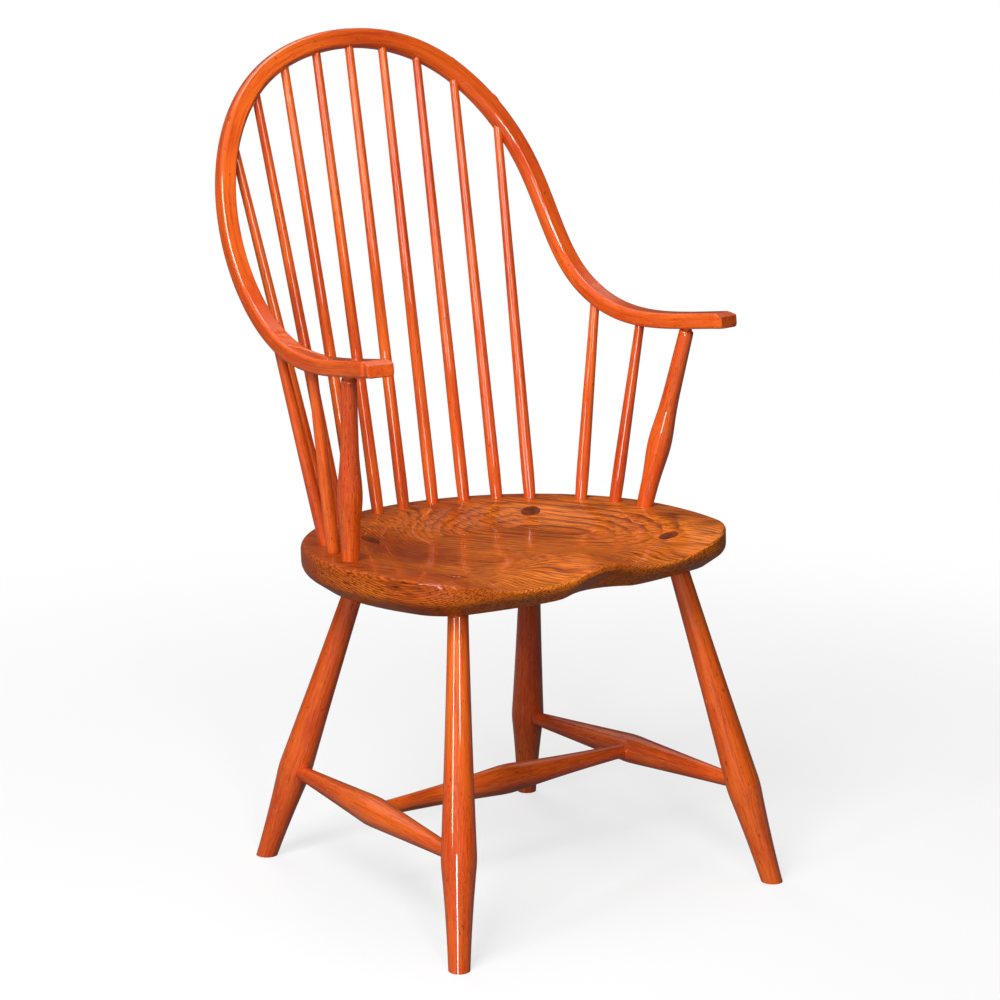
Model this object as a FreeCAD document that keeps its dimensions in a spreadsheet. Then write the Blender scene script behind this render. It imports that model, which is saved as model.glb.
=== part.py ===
import FreeCAD, Part
import Sketcher
import math
import os

from FreeCAD import Placement, Rotation, Vector

# Continuous arm windsor chair, in millimetres.
# +Z is up, the chair faces -Y, and the origin is on the floor under the middle of the chair.
# Left and right are as seen from in front, with +X on the right.
# Every tenon stands in a mortise of its own size plus a glue gap, and the through tenons are wedged.

SIZES = {
    # seat: its plan is drawn from the centre of the ring on which spindles and posts stand
    "ring_y": -58.4,
    "seat_height": 442.5,
    "seat_tilt": 2.7,
    "seat_thickness": 47.5,
    "seat_radius": 259,
    "seat_front": 194,
    "seat_side_radius": 395,
    "seat_front_radius": 820,
    "seat_corner_radius": 86,
    "seat_edge": 30,
    "seat_bevel": 25,
    "seat_bevel_round": 16,
    "seat_rim_round": 6,
    # saddle: bowl, hollows for the thighs, rolled front edge and the pommel ridge between them
    "dish_rim": 228,
    "dish_floor": 105,
    "dish_depth": 21,
    "thigh_depth": 14,
    "front_roll": 7.5,
    "front_roll_reach": 85,
    "pommel_height": 14,
    "pommel_width": 45,
    "pommel_start": 60,
    # scoop: hollow cut up under the front edge, which leaves a thin lip at the pommel
    "scoop_radius": 120,
    "scoop_lip": 16.5,
    "scoop_angle": 38,
    # bow: stations of its centreline, across from the middle, back from the ring's centre, up from the seat
    "crown_back": 344,
    "crown_up": 583.5,
    "crest_across": 127,
    "crest_back": 335,
    "crest_up": 552,
    "shoulder_across": 231.5,
    "shoulder_back": 272,
    "shoulder_up": 416.5,
    "waist_across": 245,
    "waist_back": 184,
    "waist_up": 280.5,
    "elbow_across": 249,
    "elbow_back": 110.5,
    "elbow_up": 243.5,
    "arm_across": 258,
    "arm_back": -20,
    "arm_up": 242.5,
    "hand_across": 263,
    "hand_back": -102,
    "hand_up": 254.5,
    # bow: section, and the end of the hand
    "bow_thickness": 20,
    "bow_width": 25,
    "bow_round": 4.6,
    "hand_width": 33.5,
    "hand_flare": 350,
    "hand_angle": 9,
    "hand_bevel_length": 10,
    "hand_bevel_drop": 5,
    # spindles and posts: places on the seat's ring and on the bow
    "ring_from_edge": 30.5,
    "back_spindle_angle": 10.9,
    "back_spindle_top_spacing": 51.2,
    "post_angle": 86.1,
    "arm_spindle_angle": 12.6,
    "post_from_hand": 72,
    "arm_spindle_spacing": 88.3,
    # spindles and posts: turned sizes
    "spindle_mortise": 24,
    "spindle_swell_height": 38,
    "back_spindle_foot": 15.2,
    "back_spindle_swell": 16.4,
    "back_spindle_tip": 11,
    "arm_spindle_foot": 15.4,
    "arm_spindle_swell": 16.5,
    "arm_spindle_tip": 12.2,
    "spindle_tip_length": 14,
    "post_foot": 21,
    "post_ankle": 24.6,
    "post_ankle_height": 46,
    "post_swell": 30.4,
    "post_swell_height": 84,
    "post_waist": 24.6,
    "post_waist_height": 126,
    "post_neck": 21,
    "post_neck_height": 172,
    "post_top": 18.6,
    "post_top_round": 3,
    "post_tenon": 13,
    "post_shoulder_gap": 3,
    # legs
    "front_leg_from_front": 85,
    "front_leg_from_side": 99,
    "front_foot_across": 244,
    "front_foot_back": -224,
    "rear_leg_from_back": 139,
    "rear_leg_from_side": 135,
    "rear_foot_across": 211,
    "rear_foot_back": 240.5,
    "leg_foot": 26,
    "leg_swell": 42.6,
    "leg_swell_height": 131,
    "leg_swell_round": 150,
    "leg_lower_hollow": 1.1,
    "leg_upper_hollow": 0.6,
    "leg_tenon": 25,
    "leg_tenon_showing": 12,
    # stretchers
    "front_stretcher_height": 125,
    "rear_stretcher_height": 119.5,
    "stretcher_tenon": 18.6,
    "stretcher_swell": 37.5,
    "stretcher_swell_round": 180,
    "side_stretcher_hollow": 0.2,
    "centre_stretcher_hollow": 1.2,
    "stretcher_straight": 5,
    "stretcher_past_leg": 5,
    "stretcher_past_side": 4,
    # fits
    "glue_gap": 0.15,
    "mortise_end_gap": 0.6,
    "wedge_depth": 15,
    "wedge_top": 2.4,
    "wedge_tip": 0.8,
    "wedge_side_gap": 0.9,
}

# how far a tool or an untrimmed end reaches past the wood that it cuts or is cut by
SPARE = 50.0
# edges nearer to a height than this lie at it
TOUCHING = 0.01
# steps of the searches for a place on the bow or the seat, far more than they need
SEARCH_STEPS = 50
UP = Vector(0, 0, 1)
ACROSS = Vector(1, 0, 0)
SIDES = {"left": -1, "right": 1}

doc = FreeCAD.newDocument("windsor_chair")
sheet = doc.addObject("Spreadsheet::Sheet", "Sizes")
for row, (name, value) in enumerate(SIZES.items(), start=1):
    sheet.set(f"A{row}", name)
    sheet.set(f"B{row}", str(value))
    sheet.setAlias(f"B{row}", name)
doc.recompute()

pieces = []


def size(name):
    """The value of a named cell."""
    return float(sheet.get(name))


def radius(name):
    """Half of a named diameter, as an expression and a value."""
    return f"Sizes.{name} / 2", size(name) / 2


def cell(name):
    """A named cell, as an expression and a value."""
    return f"Sizes.{name}", size(name)


def length(value):
    """A worked-out length, which has no cell of its own."""
    return None, value


def keep(item, label, solids=1):
    """Names a finished sub-part and notes how many solids it has to have."""
    item.Label = label
    pieces.append((item, solids))


def sided(vector, sign):
    """A vector of the chair's right half, or its mirror image in the left half."""
    return Vector(sign * vector.x, vector.y, vector.z)


def bearing(centre, point):
    """The angle at which a point is seen from a centre."""
    return math.atan2(point.y - centre.y, point.x - centre.x)


def along(origin, direction, across=ACROSS):
    """A placement at origin with Z along direction and X as near to across as it can be."""
    z_axis = Vector(direction).normalize()
    x_axis = (across - z_axis * z_axis.dot(across)).normalize()
    return Placement(origin, Rotation(x_axis, z_axis.cross(x_axis), z_axis, "ZXY"))


# Sketches and features


def new_body(name, plane):
    """A body and a sketch on one of its origin planes."""
    body = doc.addObject("PartDesign::Body", name)
    sketch = body.newObject("Sketcher::SketchObject", f"{name}_sketch")
    support = next(item for item in body.Origin.OriginFeatures if item.Role == plane)
    sketch.AttachmentSupport = [(support, "")]
    sketch.MapMode = "FlatFace"
    return body, sketch


def hold(sketch, kind, place, pair):
    """Adds one sized constraint, bound to its cells where it has any."""
    expression, value = pair
    index = sketch.addConstraint(Sketcher.Constraint(kind, *place, value))
    if expression:
        sketch.setExpression(f"Constraints[{index}]", expression)


def draw_half_profile(sketch, corners, curves):
    """Draws a closed half profile, up the outside and back down the axis.

    corners are (radius, height) pairs from bottom to top, each an expression and a value.
    curves are the edges that aren't lines, by the number of the corner where they start.
    """
    points = [Vector(r[1], h[1], 0) for r, h in corners]
    points = [Vector(0, points[0].y, 0)] + points + [Vector(0, points[-1].y, 0)]
    starts, ends = [], []
    for number, point in enumerate(points):
        curve = curves.get(number - 1) or Part.LineSegment(point, points[(number + 1) % len(points)])
        edge = sketch.addGeometry(curve, False)
        is_forward = curve.StartPoint.distanceToPoint(point) < curve.EndPoint.distanceToPoint(point)
        starts.append((edge, 1 if is_forward else 2))
        ends.append((edge, 2 if is_forward else 1))
    for end, start in zip(ends, starts[1:] + starts[:1]):
        sketch.addConstraint(Sketcher.Constraint("Coincident", *end, *start))
    for start, height in ((starts[0], corners[0][1]), (starts[-1], corners[-1][1])):
        sketch.addConstraint(Sketcher.Constraint("PointOnObject", *start, -2))
        hold(sketch, "DistanceY", start, height)
    for start, (across, height) in zip(starts[1:-2], corners[:-1]):
        hold(sketch, "DistanceX", start, across)
        hold(sketch, "DistanceY", start, height)
    hold(sketch, "DistanceX", starts[-2], corners[-1][0])
    for edge, curve in ((starts[number + 1][0], curve) for number, curve in curves.items()):
        if hasattr(curve, "Radius"):
            hold(sketch, "Radius", (edge,), length(curve.Radius))


def arc_between(centre, start, end):
    """The arc from start to end, anticlockwise about its centre."""
    circle = Part.Circle(centre, UP, centre.distanceToPoint(start))
    return Part.ArcOfCircle(circle, bearing(centre, start), bearing(centre, end))


def hollow_taper(centre, bend, tip, hollow):
    """Where a hollow taper from a tip touches the round of a swell, and the centre of the taper's own arc."""
    chord = tip.distanceToPoint(centre + Vector(bend, 0, 0))
    sweep = chord**2 / (8 * hollow)
    line = centre - tip
    share = (sweep**2 - (bend + sweep) ** 2 + line.Length**2) / (2 * line.Length)
    aside = Vector(-line.y, line.x, 0).normalize() * math.sqrt(sweep**2 - share**2)
    foot = tip + Vector(line).normalize() * share
    outside = max(foot + aside, foot - aside, key=lambda point: point.x)
    touch = centre + (outside - centre) * (bend / (bend + sweep))
    return touch, outside


def turn(body, sketch, placement):
    """Turns a half profile about the body's Z axis and stands the body in its place."""
    turned = body.newObject("PartDesign::Revolution", f"{body.Name}_turned")
    turned.Profile = sketch
    turned.ReferenceAxis = (sketch, ["V_Axis"])
    turned.Angle = 360
    body.Placement = placement
    return body


def cylinder(name, diameter, placement, start, end):
    """A boring tool for a tenon of the named diameter, with its glue gap, along the placement's Z axis."""
    tool = doc.addObject("Part::Cylinder", name)
    tool.setExpression("Radius", f"Sizes.{diameter} / 2 + Sizes.glue_gap")
    tool.Height = end - start
    tool.Placement = placement.multiply(Placement(UP * start, Rotation()))
    return tool


def above_plane(name, point, normal):
    """A block on the far side of a plane, to trim off what stands past it."""
    block = doc.addObject("Part::Box", name)
    block.Length = 4 * SPARE
    block.Width = 4 * SPARE
    block.Height = 4 * SPARE
    block.Placement = along(point, normal).multiply(Placement(Vector(-2 * SPARE, -2 * SPARE, 0), Rotation()))
    return block


def wedge(name, tenon, placement, is_kerf):
    """A wedge driven down the Z axis from the placement's origin, thin along X, or the kerf that takes it."""
    piece = doc.addObject("Part::Wedge", name)
    gap, side, end = "0", "-Sizes.wedge_side_gap", "0"
    if is_kerf:
        gap, side, end = "Sizes.glue_gap", "Sizes.glue_gap", "Sizes.mortise_end_gap"
    slope = "(Sizes.wedge_top - Sizes.wedge_tip) / (2 * Sizes.wedge_depth)"
    piece.setExpression("Ymin", f"-Sizes.wedge_depth - {end}")
    piece.Ymax = SPARE / 2
    for low, high, half_width in (
        ("Zmin", "Zmax", f"Sizes.{tenon} / 2 + {side}"),
        ("Z2min", "Z2max", f"Sizes.{tenon} / 2 + {side}"),
        ("Xmin", "Xmax", f"Sizes.wedge_tip / 2 + {gap}"),
        ("X2min", "X2max", f"Sizes.wedge_top / 2 + {gap} + {slope} * {SPARE / 2}"),
    ):
        piece.setExpression(low, f"-({half_width})")
        piece.setExpression(high, half_width)
    piece.Placement = placement.multiply(Placement(Vector(0, 0, 0), Rotation(ACROSS, 90)))
    return piece


def cut(name, base, tools):
    """The base less one or more tools."""
    tool = tools[0]
    if len(tools) > 1:
        tool = doc.addObject("Part::MultiFuse", f"{name}_tools")
        tool.Shapes = tools
    result = doc.addObject("Part::Cut", f"{name}_cut")
    result.Base = base
    result.Tool = tool
    return result


def group(name, members):
    """Several separate solids that make one node."""
    compound = doc.addObject("Part::Compound", name)
    compound.Links = members
    return compound


def through_tenon(name, body, tenon, flush, normal, split):
    """Trims a through tenon flush with the wood that it passes, and wedges it across the grain."""
    axis = body.Placement.Rotation.multVec(UP)
    top = along(flush, axis, split)
    trim = above_plane(f"{name}_trim", flush, normal)
    kerf = wedge(f"{name}_kerf", tenon, top, True)
    filler = cut(f"{name}_wedge", wedge(f"{name}_wedge_blank", tenon, top, False), [trim])
    return [trim, kerf], filler


# Seat

seat_frame = Placement(
    Vector(0, size("ring_y"), size("seat_height")), Rotation(ACROSS, -size("seat_tilt"))
)


def smooth(share):
    """Rises from 0 to 1, level at both ends, as share goes from 0 to 1."""
    share = min(max(share, 0.0), 1.0)
    return share**3 * (share * (6 * share - 15) + 10)


def saddle_depth(x, y):
    """How far the saddled top lies below the spindle deck, in the seat's own plan."""
    front = size("seat_front")
    reach = math.hypot(x, max(y, 0.0))
    bowl = smooth((size("dish_rim") - reach) / (size("dish_rim") - size("dish_floor")))
    floor = size("dish_depth") + (size("thigh_depth") - size("dish_depth")) * smooth(-y / front)
    roll = size("front_roll") * smooth(1 - (y + front) / size("front_roll_reach"))
    ridge_start = size("pommel_start")
    ridge = math.exp(-((x / size("pommel_width")) ** 2)) * smooth((ridge_start - y) / (ridge_start + front))
    return bowl * floor + roll - size("pommel_height") * ridge


def draw_seat_plan(sketch):
    """Six arcs, each tangent to the next: back, two sides, two corners and front."""
    side, corner, front = size("seat_side_radius"), size("seat_corner_radius"), size("seat_front_radius")
    side_centre = Vector(size("seat_radius") - side, 0, 0)
    front_centre = Vector(0, front - size("seat_front"), 0)
    # the corner's centre is as far from each neighbour's centre as their radii differ
    base = front_centre - side_centre
    near, far = side - corner, front - corner
    share = (base.Length**2 + near**2 - far**2) / (2 * base.Length)
    rise = math.sqrt(near**2 - share**2)
    step = Vector(base).normalize()
    corner_centre = side_centre + step * share + Vector(step.y, -step.x, 0) * rise
    side_end = bearing(side_centre, corner_centre)
    front_end = bearing(front_centre, corner_centre)
    arcs = [
        ("seat_radius", Vector(0, 0, 0), 0, math.pi),
        ("seat_side_radius", sided(side_centre, -1), math.pi, math.pi - side_end),
        ("seat_corner_radius", sided(corner_centre, -1), math.pi - side_end, math.pi - front_end),
        ("seat_front_radius", front_centre, math.pi - front_end, 2 * math.pi + front_end),
        ("seat_corner_radius", corner_centre, front_end, side_end),
        ("seat_side_radius", side_centre, side_end, 0),
    ]
    edges = []
    for name, centre, start, end in arcs:
        circle = Part.Circle(centre, UP, size(name))
        edges.append(sketch.addGeometry(Part.ArcOfCircle(circle, start, end), False))
    for edge, following in zip(edges, edges[1:] + edges[:1]):
        sketch.addConstraint(Sketcher.Constraint("Tangent", edge, 2, following, 1))
    for edge, (name, centre, start, end) in zip(edges, arcs):
        hold(sketch, "Radius", (edge,), cell(name))
    back, left_side, _, front_arc, _, right_side = edges
    sketch.addConstraint(Sketcher.Constraint("Coincident", back, 3, -1, 1))
    sketch.addConstraint(Sketcher.Constraint("PointOnObject", left_side, 3, -1))
    sketch.addConstraint(Sketcher.Constraint("PointOnObject", right_side, 3, -1))
    sketch.addConstraint(Sketcher.Constraint("PointOnObject", front_arc, 3, -2))
    place = ("Sizes.seat_front_radius - Sizes.seat_front", front_centre.y)
    hold(sketch, "DistanceY", (-1, 1, front_arc, 3), place)


def lower_edges(shape, height):
    """The numbers of the edges that lie at a height."""
    return [
        f"Edge{number}"
        for number, edge in enumerate(shape.Edges, start=1)
        if abs(edge.BoundBox.ZMax - height) + abs(edge.BoundBox.ZMin - height) < TOUCHING
    ]


def make_plank():
    """The seat's plank: its plan padded, bevelled all round from below, with the bevel's edge rounded."""
    plank, sketch = new_body("plank", "XY_Plane")
    draw_seat_plan(sketch)
    sketch.AttachmentOffset = Placement(UP * -size("seat_thickness"), Rotation())
    pad = plank.newObject("PartDesign::Pad", "plank_pad")
    pad.Profile = sketch
    pad.setExpression("Length", f"Sizes.seat_thickness + {SPARE}")
    doc.recompute()
    bevel = plank.newObject("PartDesign::Chamfer", "plank_bevel")
    bevel.Base = (pad, lower_edges(pad.Shape, -size("seat_thickness")))
    bevel.ChamferType = 1
    bevel.setExpression("Size", "Sizes.seat_thickness - Sizes.seat_edge")
    bevel.setExpression("Size2", "Sizes.seat_bevel")
    doc.recompute()
    rounded = plank.newObject("PartDesign::Fillet", "plank_round")
    rounded.Base = (bevel, lower_edges(bevel.Shape, -size("seat_edge")))
    rounded.setExpression("Radius", "Sizes.seat_bevel_round")
    plank.Placement = seat_frame
    return plank


def make_saddle_tool():
    """All that is carved away above the saddled top."""
    reach = size("seat_radius") + SPARE
    count = 21
    ticks = [reach * (2 * number / (count - 1) - 1) for number in range(count)]
    surface = Part.BSplineSurface()
    surface.interpolate([[Vector(x, y, -saddle_depth(x, y)) for y in ticks] for x in ticks])
    tool = doc.addObject("Part::Feature", "saddle_tool")
    tool.Shape = surface.toShape().extrude(UP * 2 * SPARE)
    tool.Placement = seat_frame
    return tool


def round_rim(saddled):
    """Rounds the rim where the saddled top meets the seat's upright edge."""
    doc.recompute()
    top = max(saddled.Shape.Faces, key=lambda face: face.Area)
    bend = size("seat_rim_round")
    rim = doc.addObject("Part::Fillet", "seat_rim")
    rim.Base = saddled
    rim.Edges = [
        (number, bend, bend)
        for number, edge in enumerate(saddled.Shape.Edges, start=1)
        if any(edge.isSame(other) for other in top.Edges)
    ]
    return rim


def make_scoop():
    """A round cutter that rises forward from the underside and leaves a thin lip under the pommel."""
    slope = math.radians(size("scoop_angle"))
    axis = Vector(0, math.cos(slope), -math.sin(slope))
    above = Vector(0, math.sin(slope), math.cos(slope))
    lip = Vector(0, -size("seat_front"), -size("scoop_lip"))
    tool = doc.addObject("Part::Cylinder", "scoop")
    tool.setExpression("Radius", "Sizes.scoop_radius")
    tool.Height = 3 * SPARE
    tool.Placement = seat_frame.multiply(along(lip - above * size("scoop_radius") - axis * SPARE, axis))
    return tool


def on_deck(x, y):
    """A point of the spindle deck, from the seat's own plan."""
    return seat_frame.multVec(Vector(x, y, 0))


def ring_point(angle):
    """A point on the ring that spindles and posts stand on, by its angle from the middle of the back."""
    turn_angle = math.radians(angle)
    ring = size("seat_radius") - size("ring_from_edge")
    return on_deck(ring * math.sin(turn_angle), ring * math.cos(turn_angle))


def saddle_exit(point, direction):
    """Where a line leaves the saddled top, and the top's normal there."""
    inverse = seat_frame.inverse()
    place, step = inverse.multVec(point), inverse.Rotation.multVec(direction)
    for _ in range(SEARCH_STEPS):
        place = place + step * ((-saddle_depth(place.x, place.y) - place.z) / step.z)
    small = 0.5
    slope_x = (saddle_depth(place.x + small, place.y) - saddle_depth(place.x - small, place.y)) / (2 * small)
    slope_y = (saddle_depth(place.x, place.y + small) - saddle_depth(place.x, place.y - small)) / (2 * small)
    return seat_frame.multVec(place), seat_frame.Rotation.multVec(Vector(slope_x, slope_y, 1).normalize())


# Bow

BOW_STATIONS = ["crest", "shoulder", "waist", "elbow", "arm", "hand"]


def make_bow_line():
    """The right half of the bow's centreline, from the crown to the hand."""

    def station(across, name):
        back, rise = size(f"{name}_back"), size(f"{name}_up")
        return Vector(across, size("ring_y") + back, size("seat_height") + rise)

    points = [station(0, "crown")] + [station(size(f"{name}_across"), name) for name in BOW_STATIONS]
    curve = Part.BSplineCurve()
    end = (points[-1] - points[-2]).normalize()
    curve.interpolate(Points=points, InitialTangent=ACROSS, FinalTangent=end)
    return curve


bow_line = make_bow_line()
half_bow = bow_line.length()


def bow_parameter(distance):
    """The line's parameter at a distance from the crown."""
    return bow_line.parameterAtDistance(distance, bow_line.FirstParameter)


def bow_frame(parameter, sign):
    """A point of the centreline, with the directions of the hand, the outer edge and the upper or front face.

    The strip keeps flat to its own side view, so its face never leans to the left or right.
    """
    point, first, second = bow_line.getD2(parameter)
    side_view = Vector(0, first.y, first.z)
    if side_view.Length < 0.01 * first.Length:
        side_view = Vector(0, second.y, second.z)
    face = Vector(0, side_view.z, -side_view.y).normalize()
    forward = Vector(first).normalize()
    return sided(point, sign), sided(forward, sign), sided(face.cross(forward), sign), face


def bow_width(distance):
    """The strip's width at a distance from the crown, which flares along the arm to the hand."""
    share = max(0.0, 1 - (half_bow - distance) / size("hand_flare"))
    return size("bow_width") + (size("hand_width") - size("bow_width")) * share**2


def rounded_section(point, wide, thick, width):
    """The strip's section: a rectangle with rounded corners."""
    bend = size("bow_round")
    across, deep = width / 2 - bend, size("bow_thickness") / 2 - bend
    quarters = [(1, 1), (-1, 1), (-1, -1), (1, -1)]
    edges = []
    for number, (a, b) in enumerate(quarters):
        c, d = quarters[(number + 1) % 4]
        corner = point + wide * (a * across) + thick * (b * deep)
        following = point + wide * (c * across) + thick * (d * deep)
        arrive, leave = (wide * a, thick * b) if a == b else (thick * b, wide * a)
        middle = (arrive + leave).normalize()
        bend_points = [corner + way * bend for way in (arrive, middle, leave)]
        edges.append(Part.Arc(*bend_points).toShape())
        edges.append(Part.LineSegment(corner + leave * bend, following + leave * bend).toShape())
    return Part.Wire(edges)


def make_bow_blank():
    """The bent strip before it is bored: sections lofted along its line, with the hands cut at an angle."""
    section_step = 48.0
    count = round(half_bow / section_step)
    turn_angle = math.radians(size("hand_angle"))
    wires = []
    for number in range(-count, count + 1):
        distance = half_bow * abs(number) / count
        sign = -1 if number < 0 else 1
        point, forward, edge, face = bow_frame(bow_parameter(distance), sign)
        if abs(number) == count:
            edge = edge * math.cos(turn_angle) - forward * math.sin(turn_angle)
        wires.append(rounded_section(point, edge, face, bow_width(distance)))
    blank = doc.addObject("Part::Feature", "bow_blank")
    blank.Shape = Part.makeLoft(wires, True, False)
    return blank


def hand_bevels():
    """Blocks that bevel the upper edge of each hand's end."""
    turn_angle = math.radians(size("hand_angle"))
    run, drop = size("hand_bevel_length"), size("hand_bevel_drop")
    blocks = []
    for side, sign in SIDES.items():
        point, forward, edge, face = bow_frame(bow_line.LastParameter, sign)
        square_on = forward * math.cos(turn_angle) + edge * math.sin(turn_angle)
        corner = point + face * (size("bow_thickness") / 2 - drop)
        blocks.append(above_plane(f"hand_bevel_{side}", corner, face * run + square_on * drop))
    return blocks


def bow_exit(start, direction, on_edge):
    """Where a line leaves the strip by its outer edge or upper face, with the normal and the grain there."""
    sign = -1 if start.x < 0 else 1
    reach = 0.0
    for _ in range(SEARCH_STEPS):
        place = start + direction * reach
        parameter = bow_line.parameter(sided(place, sign))
        point, grain, edge, face = bow_frame(parameter, sign)
        normal, depth = face, size("bow_thickness")
        if on_edge:
            normal, depth = edge, bow_width(bow_line.length(bow_line.FirstParameter, parameter))
        reach += (depth / 2 - normal.dot(place - point)) / normal.dot(direction)
    return start + direction * reach, normal, grain


def bow_at_width(across):
    """The point of the hoop at a distance from the chair's middle, found by halving."""
    low, high = 0.0, 2 * abs(across)
    for _ in range(SEARCH_STEPS):
        middle = (low + high) / 2
        if bow_line.value(bow_parameter(middle)).x < abs(across):
            low = middle
        else:
            high = middle
    return sided(bow_line.value(bow_parameter(low)), math.copysign(1, across))


def bow_from_hand(distance, sign):
    """The point of an arm at a distance along the strip from the hand's end."""
    return sided(bow_line.value(bow_parameter(half_bow - distance)), sign)


# Turned pieces


def spindle_body(name, kind, foot, top):
    """A spindle from its foot on the deck to the bow: straight tenon, swell, long taper, straight tip."""
    span = (top - foot).Length
    body, sketch = new_body(name, "XZ_Plane")
    foot_r, swell_r, tip_r = (size(f"{kind}_{part}") / 2 for part in ("foot", "swell", "tip"))
    swell_at = size("spindle_swell_height")
    rise = swell_r - foot_r
    bend = (swell_at**2 + rise**2) / (2 * rise)
    centre = Vector(swell_r - bend, swell_at, 0)
    tip_at = span - size("bow_width") / 2 - size("spindle_tip_length")
    tip = Vector(tip_r, tip_at, 0)
    touch = bearing(centre, tip) - math.acos(bend / centre.distanceToPoint(tip))
    arc = Part.ArcOfCircle(Part.Circle(centre, UP, bend), bearing(centre, Vector(foot_r, 0, 0)), touch)
    bottom = size("mortise_end_gap") - size("spindle_mortise")
    corners = [
        (radius(f"{kind}_foot"), length(bottom)),
        (radius(f"{kind}_foot"), length(0)),
        (length(arc.EndPoint.x), length(arc.EndPoint.y)),
        (radius(f"{kind}_tip"), length(tip_at)),
        (radius(f"{kind}_tip"), length(span + SPARE)),
    ]
    draw_half_profile(sketch, corners, {1: arc})
    return turn(body, sketch, along(foot, top - foot))


def post_body(name, foot, top, shoulder_at):
    """An arm post: swelled turning with a rounded shoulder under the arm and a thinner tenon."""
    span = (top - foot).Length
    body, sketch = new_body(name, "XZ_Plane")
    bend = size("post_top_round")
    top_r = size("post_top") / 2
    stations = [("post_ankle", size("post_ankle_height")), ("post_swell", size("post_swell_height"))]
    stations += [("post_waist", size("post_waist_height")), ("post_neck", size("post_neck_height"))]
    outline = [Vector(size("post_foot") / 2, 0, 0)]
    outline += [Vector(size(part) / 2, height, 0) for part, height in stations]
    outline.append(Vector(top_r, shoulder_at - bend, 0))
    swell = Part.BSplineCurve()
    swell.interpolate(outline)
    shoulder_centre = Vector(top_r - bend, shoulder_at - bend, 0)
    shoulder = Part.ArcOfCircle(Part.Circle(shoulder_centre, UP, bend), 0, math.pi / 2)
    bottom = size("mortise_end_gap") - size("spindle_mortise")
    corners = [
        (radius("post_foot"), length(bottom)),
        (radius("post_foot"), length(0)),
        (radius("post_top"), length(shoulder_at - bend)),
        (("Sizes.post_top / 2 - Sizes.post_top_round", top_r - bend), length(shoulder_at)),
        (radius("post_tenon"), length(shoulder_at)),
        (radius("post_tenon"), length(span + SPARE)),
    ]
    draw_half_profile(sketch, corners, {1: swell, 2: shoulder})
    return turn(body, sketch, along(foot, top - foot))


def swelled_body(name, sizes, heights, placement):
    """A turning with straight ends and one swell between two hollow tapers, for legs and stretchers.

    sizes are the cells of the lower end, its taper's hollow, the swell, the swell's round, and the upper
    taper's hollow and end; heights are those of the bottom, the lower taper's start, the swell, the upper
    taper's end and the top.
    """
    lower, lower_hollow, swell, bend_cell, upper_hollow, upper = sizes
    bottom, low, swell_at, high, top = heights
    body, sketch = new_body(name, "XZ_Plane")
    bend = size(bend_cell)
    centre = Vector(size(swell) / 2 - bend, swell_at, 0)
    below, above = Vector(size(lower) / 2, low, 0), Vector(size(upper) / 2, high, 0)
    start, lower_centre = hollow_taper(centre, bend, below, size(lower_hollow))
    end, upper_centre = hollow_taper(centre, bend, above, size(upper_hollow))
    corners = [
        (radius(lower), length(bottom)),
        (radius(lower), length(low)),
        (length(start.x), length(start.y)),
        (length(end.x), length(end.y)),
        (radius(upper), length(high)),
        (radius(upper), length(top)),
    ]
    curves = {
        1: arc_between(lower_centre, start, below).toBSpline(),
        2: arc_between(centre, start, end),
        3: arc_between(upper_centre, above, end).toBSpline(),
    }
    draw_half_profile(sketch, corners, curves)
    return turn(body, sketch, placement)


# Spindles and posts between the seat and the bow

seat_tools = []
bow_tools = hand_bevels()
bow_wedges = []


def fit_upright(name, body, foot_cell, tip_cell, foot, top, on_edge):
    """Bores the seat and the bow for an upright, then trims and wedges its tenon."""
    axis = along(foot, top - foot)
    span = (top - foot).Length
    seat_tools.append(cylinder(f"{name}_mortise", foot_cell, axis, -size("spindle_mortise"), SPARE / 2))
    bow_tools.append(cylinder(f"{name}_bore", tip_cell, axis, span - SPARE, span + SPARE))
    flush, normal, grain = bow_exit(top, (top - foot).normalize(), on_edge)
    tools, filler = through_tenon(name, body, tip_cell, flush, normal, grain)
    bow_wedges.append(filler)
    keep(cut(name, body, tools), name)


for number in range(1, 10):
    step = number - 5
    foot = ring_point(size("back_spindle_angle") * step)
    top = bow_at_width(size("back_spindle_top_spacing") * step)
    name = f"back_spindle_{number}"
    body = spindle_body(f"{name}_blank", "back_spindle", foot, top)
    fit_upright(name, body, "back_spindle_foot", "back_spindle_tip", foot, top, True)

for side, sign in SIDES.items():
    foot = ring_point(sign * size("post_angle"))
    top = bow_from_hand(size("post_from_hand"), sign)
    name = f"arm_post_{side}"
    under_arm = (top - foot).Length - size("bow_thickness") / 2 - size("post_shoulder_gap")
    body = post_body(f"{name}_blank", foot, top, under_arm)
    fit_upright(name, body, "post_foot", "post_tenon", foot, top, False)
    for number, place in ((1, "front"), (2, "rear")):
        foot = ring_point(sign * (size("post_angle") - number * size("arm_spindle_angle")))
        top = bow_from_hand(size("post_from_hand") + number * size("arm_spindle_spacing"), sign)
        name = f"arm_spindle_{side}_{place}"
        body = spindle_body(f"{name}_blank", "arm_spindle", foot, top)
        fit_upright(name, body, "arm_spindle_foot", "arm_spindle_tip", foot, top, False)

# Legs and stretchers


def leg_line(end, sign):
    """A leg's foot on the floor and the centre of its mortise on the deck."""
    across = size("seat_radius") - size(f"{end}_leg_from_side")
    back = size("seat_radius") - size("rear_leg_from_back")
    if end == "front":
        back = size("front_leg_from_front") - size("seat_front")
    foot = Vector(sign * size(f"{end}_foot_across"), size("ring_y") + size(f"{end}_foot_back"), 0)
    return foot, on_deck(sign * across, back)


def leg_point(end, sign):
    """Where a side stretcher meets the leg's axis."""
    foot, deck = leg_line(end, sign)
    return foot + (deck - foot) * (size(f"{end}_stretcher_height") / deck.z)


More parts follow.
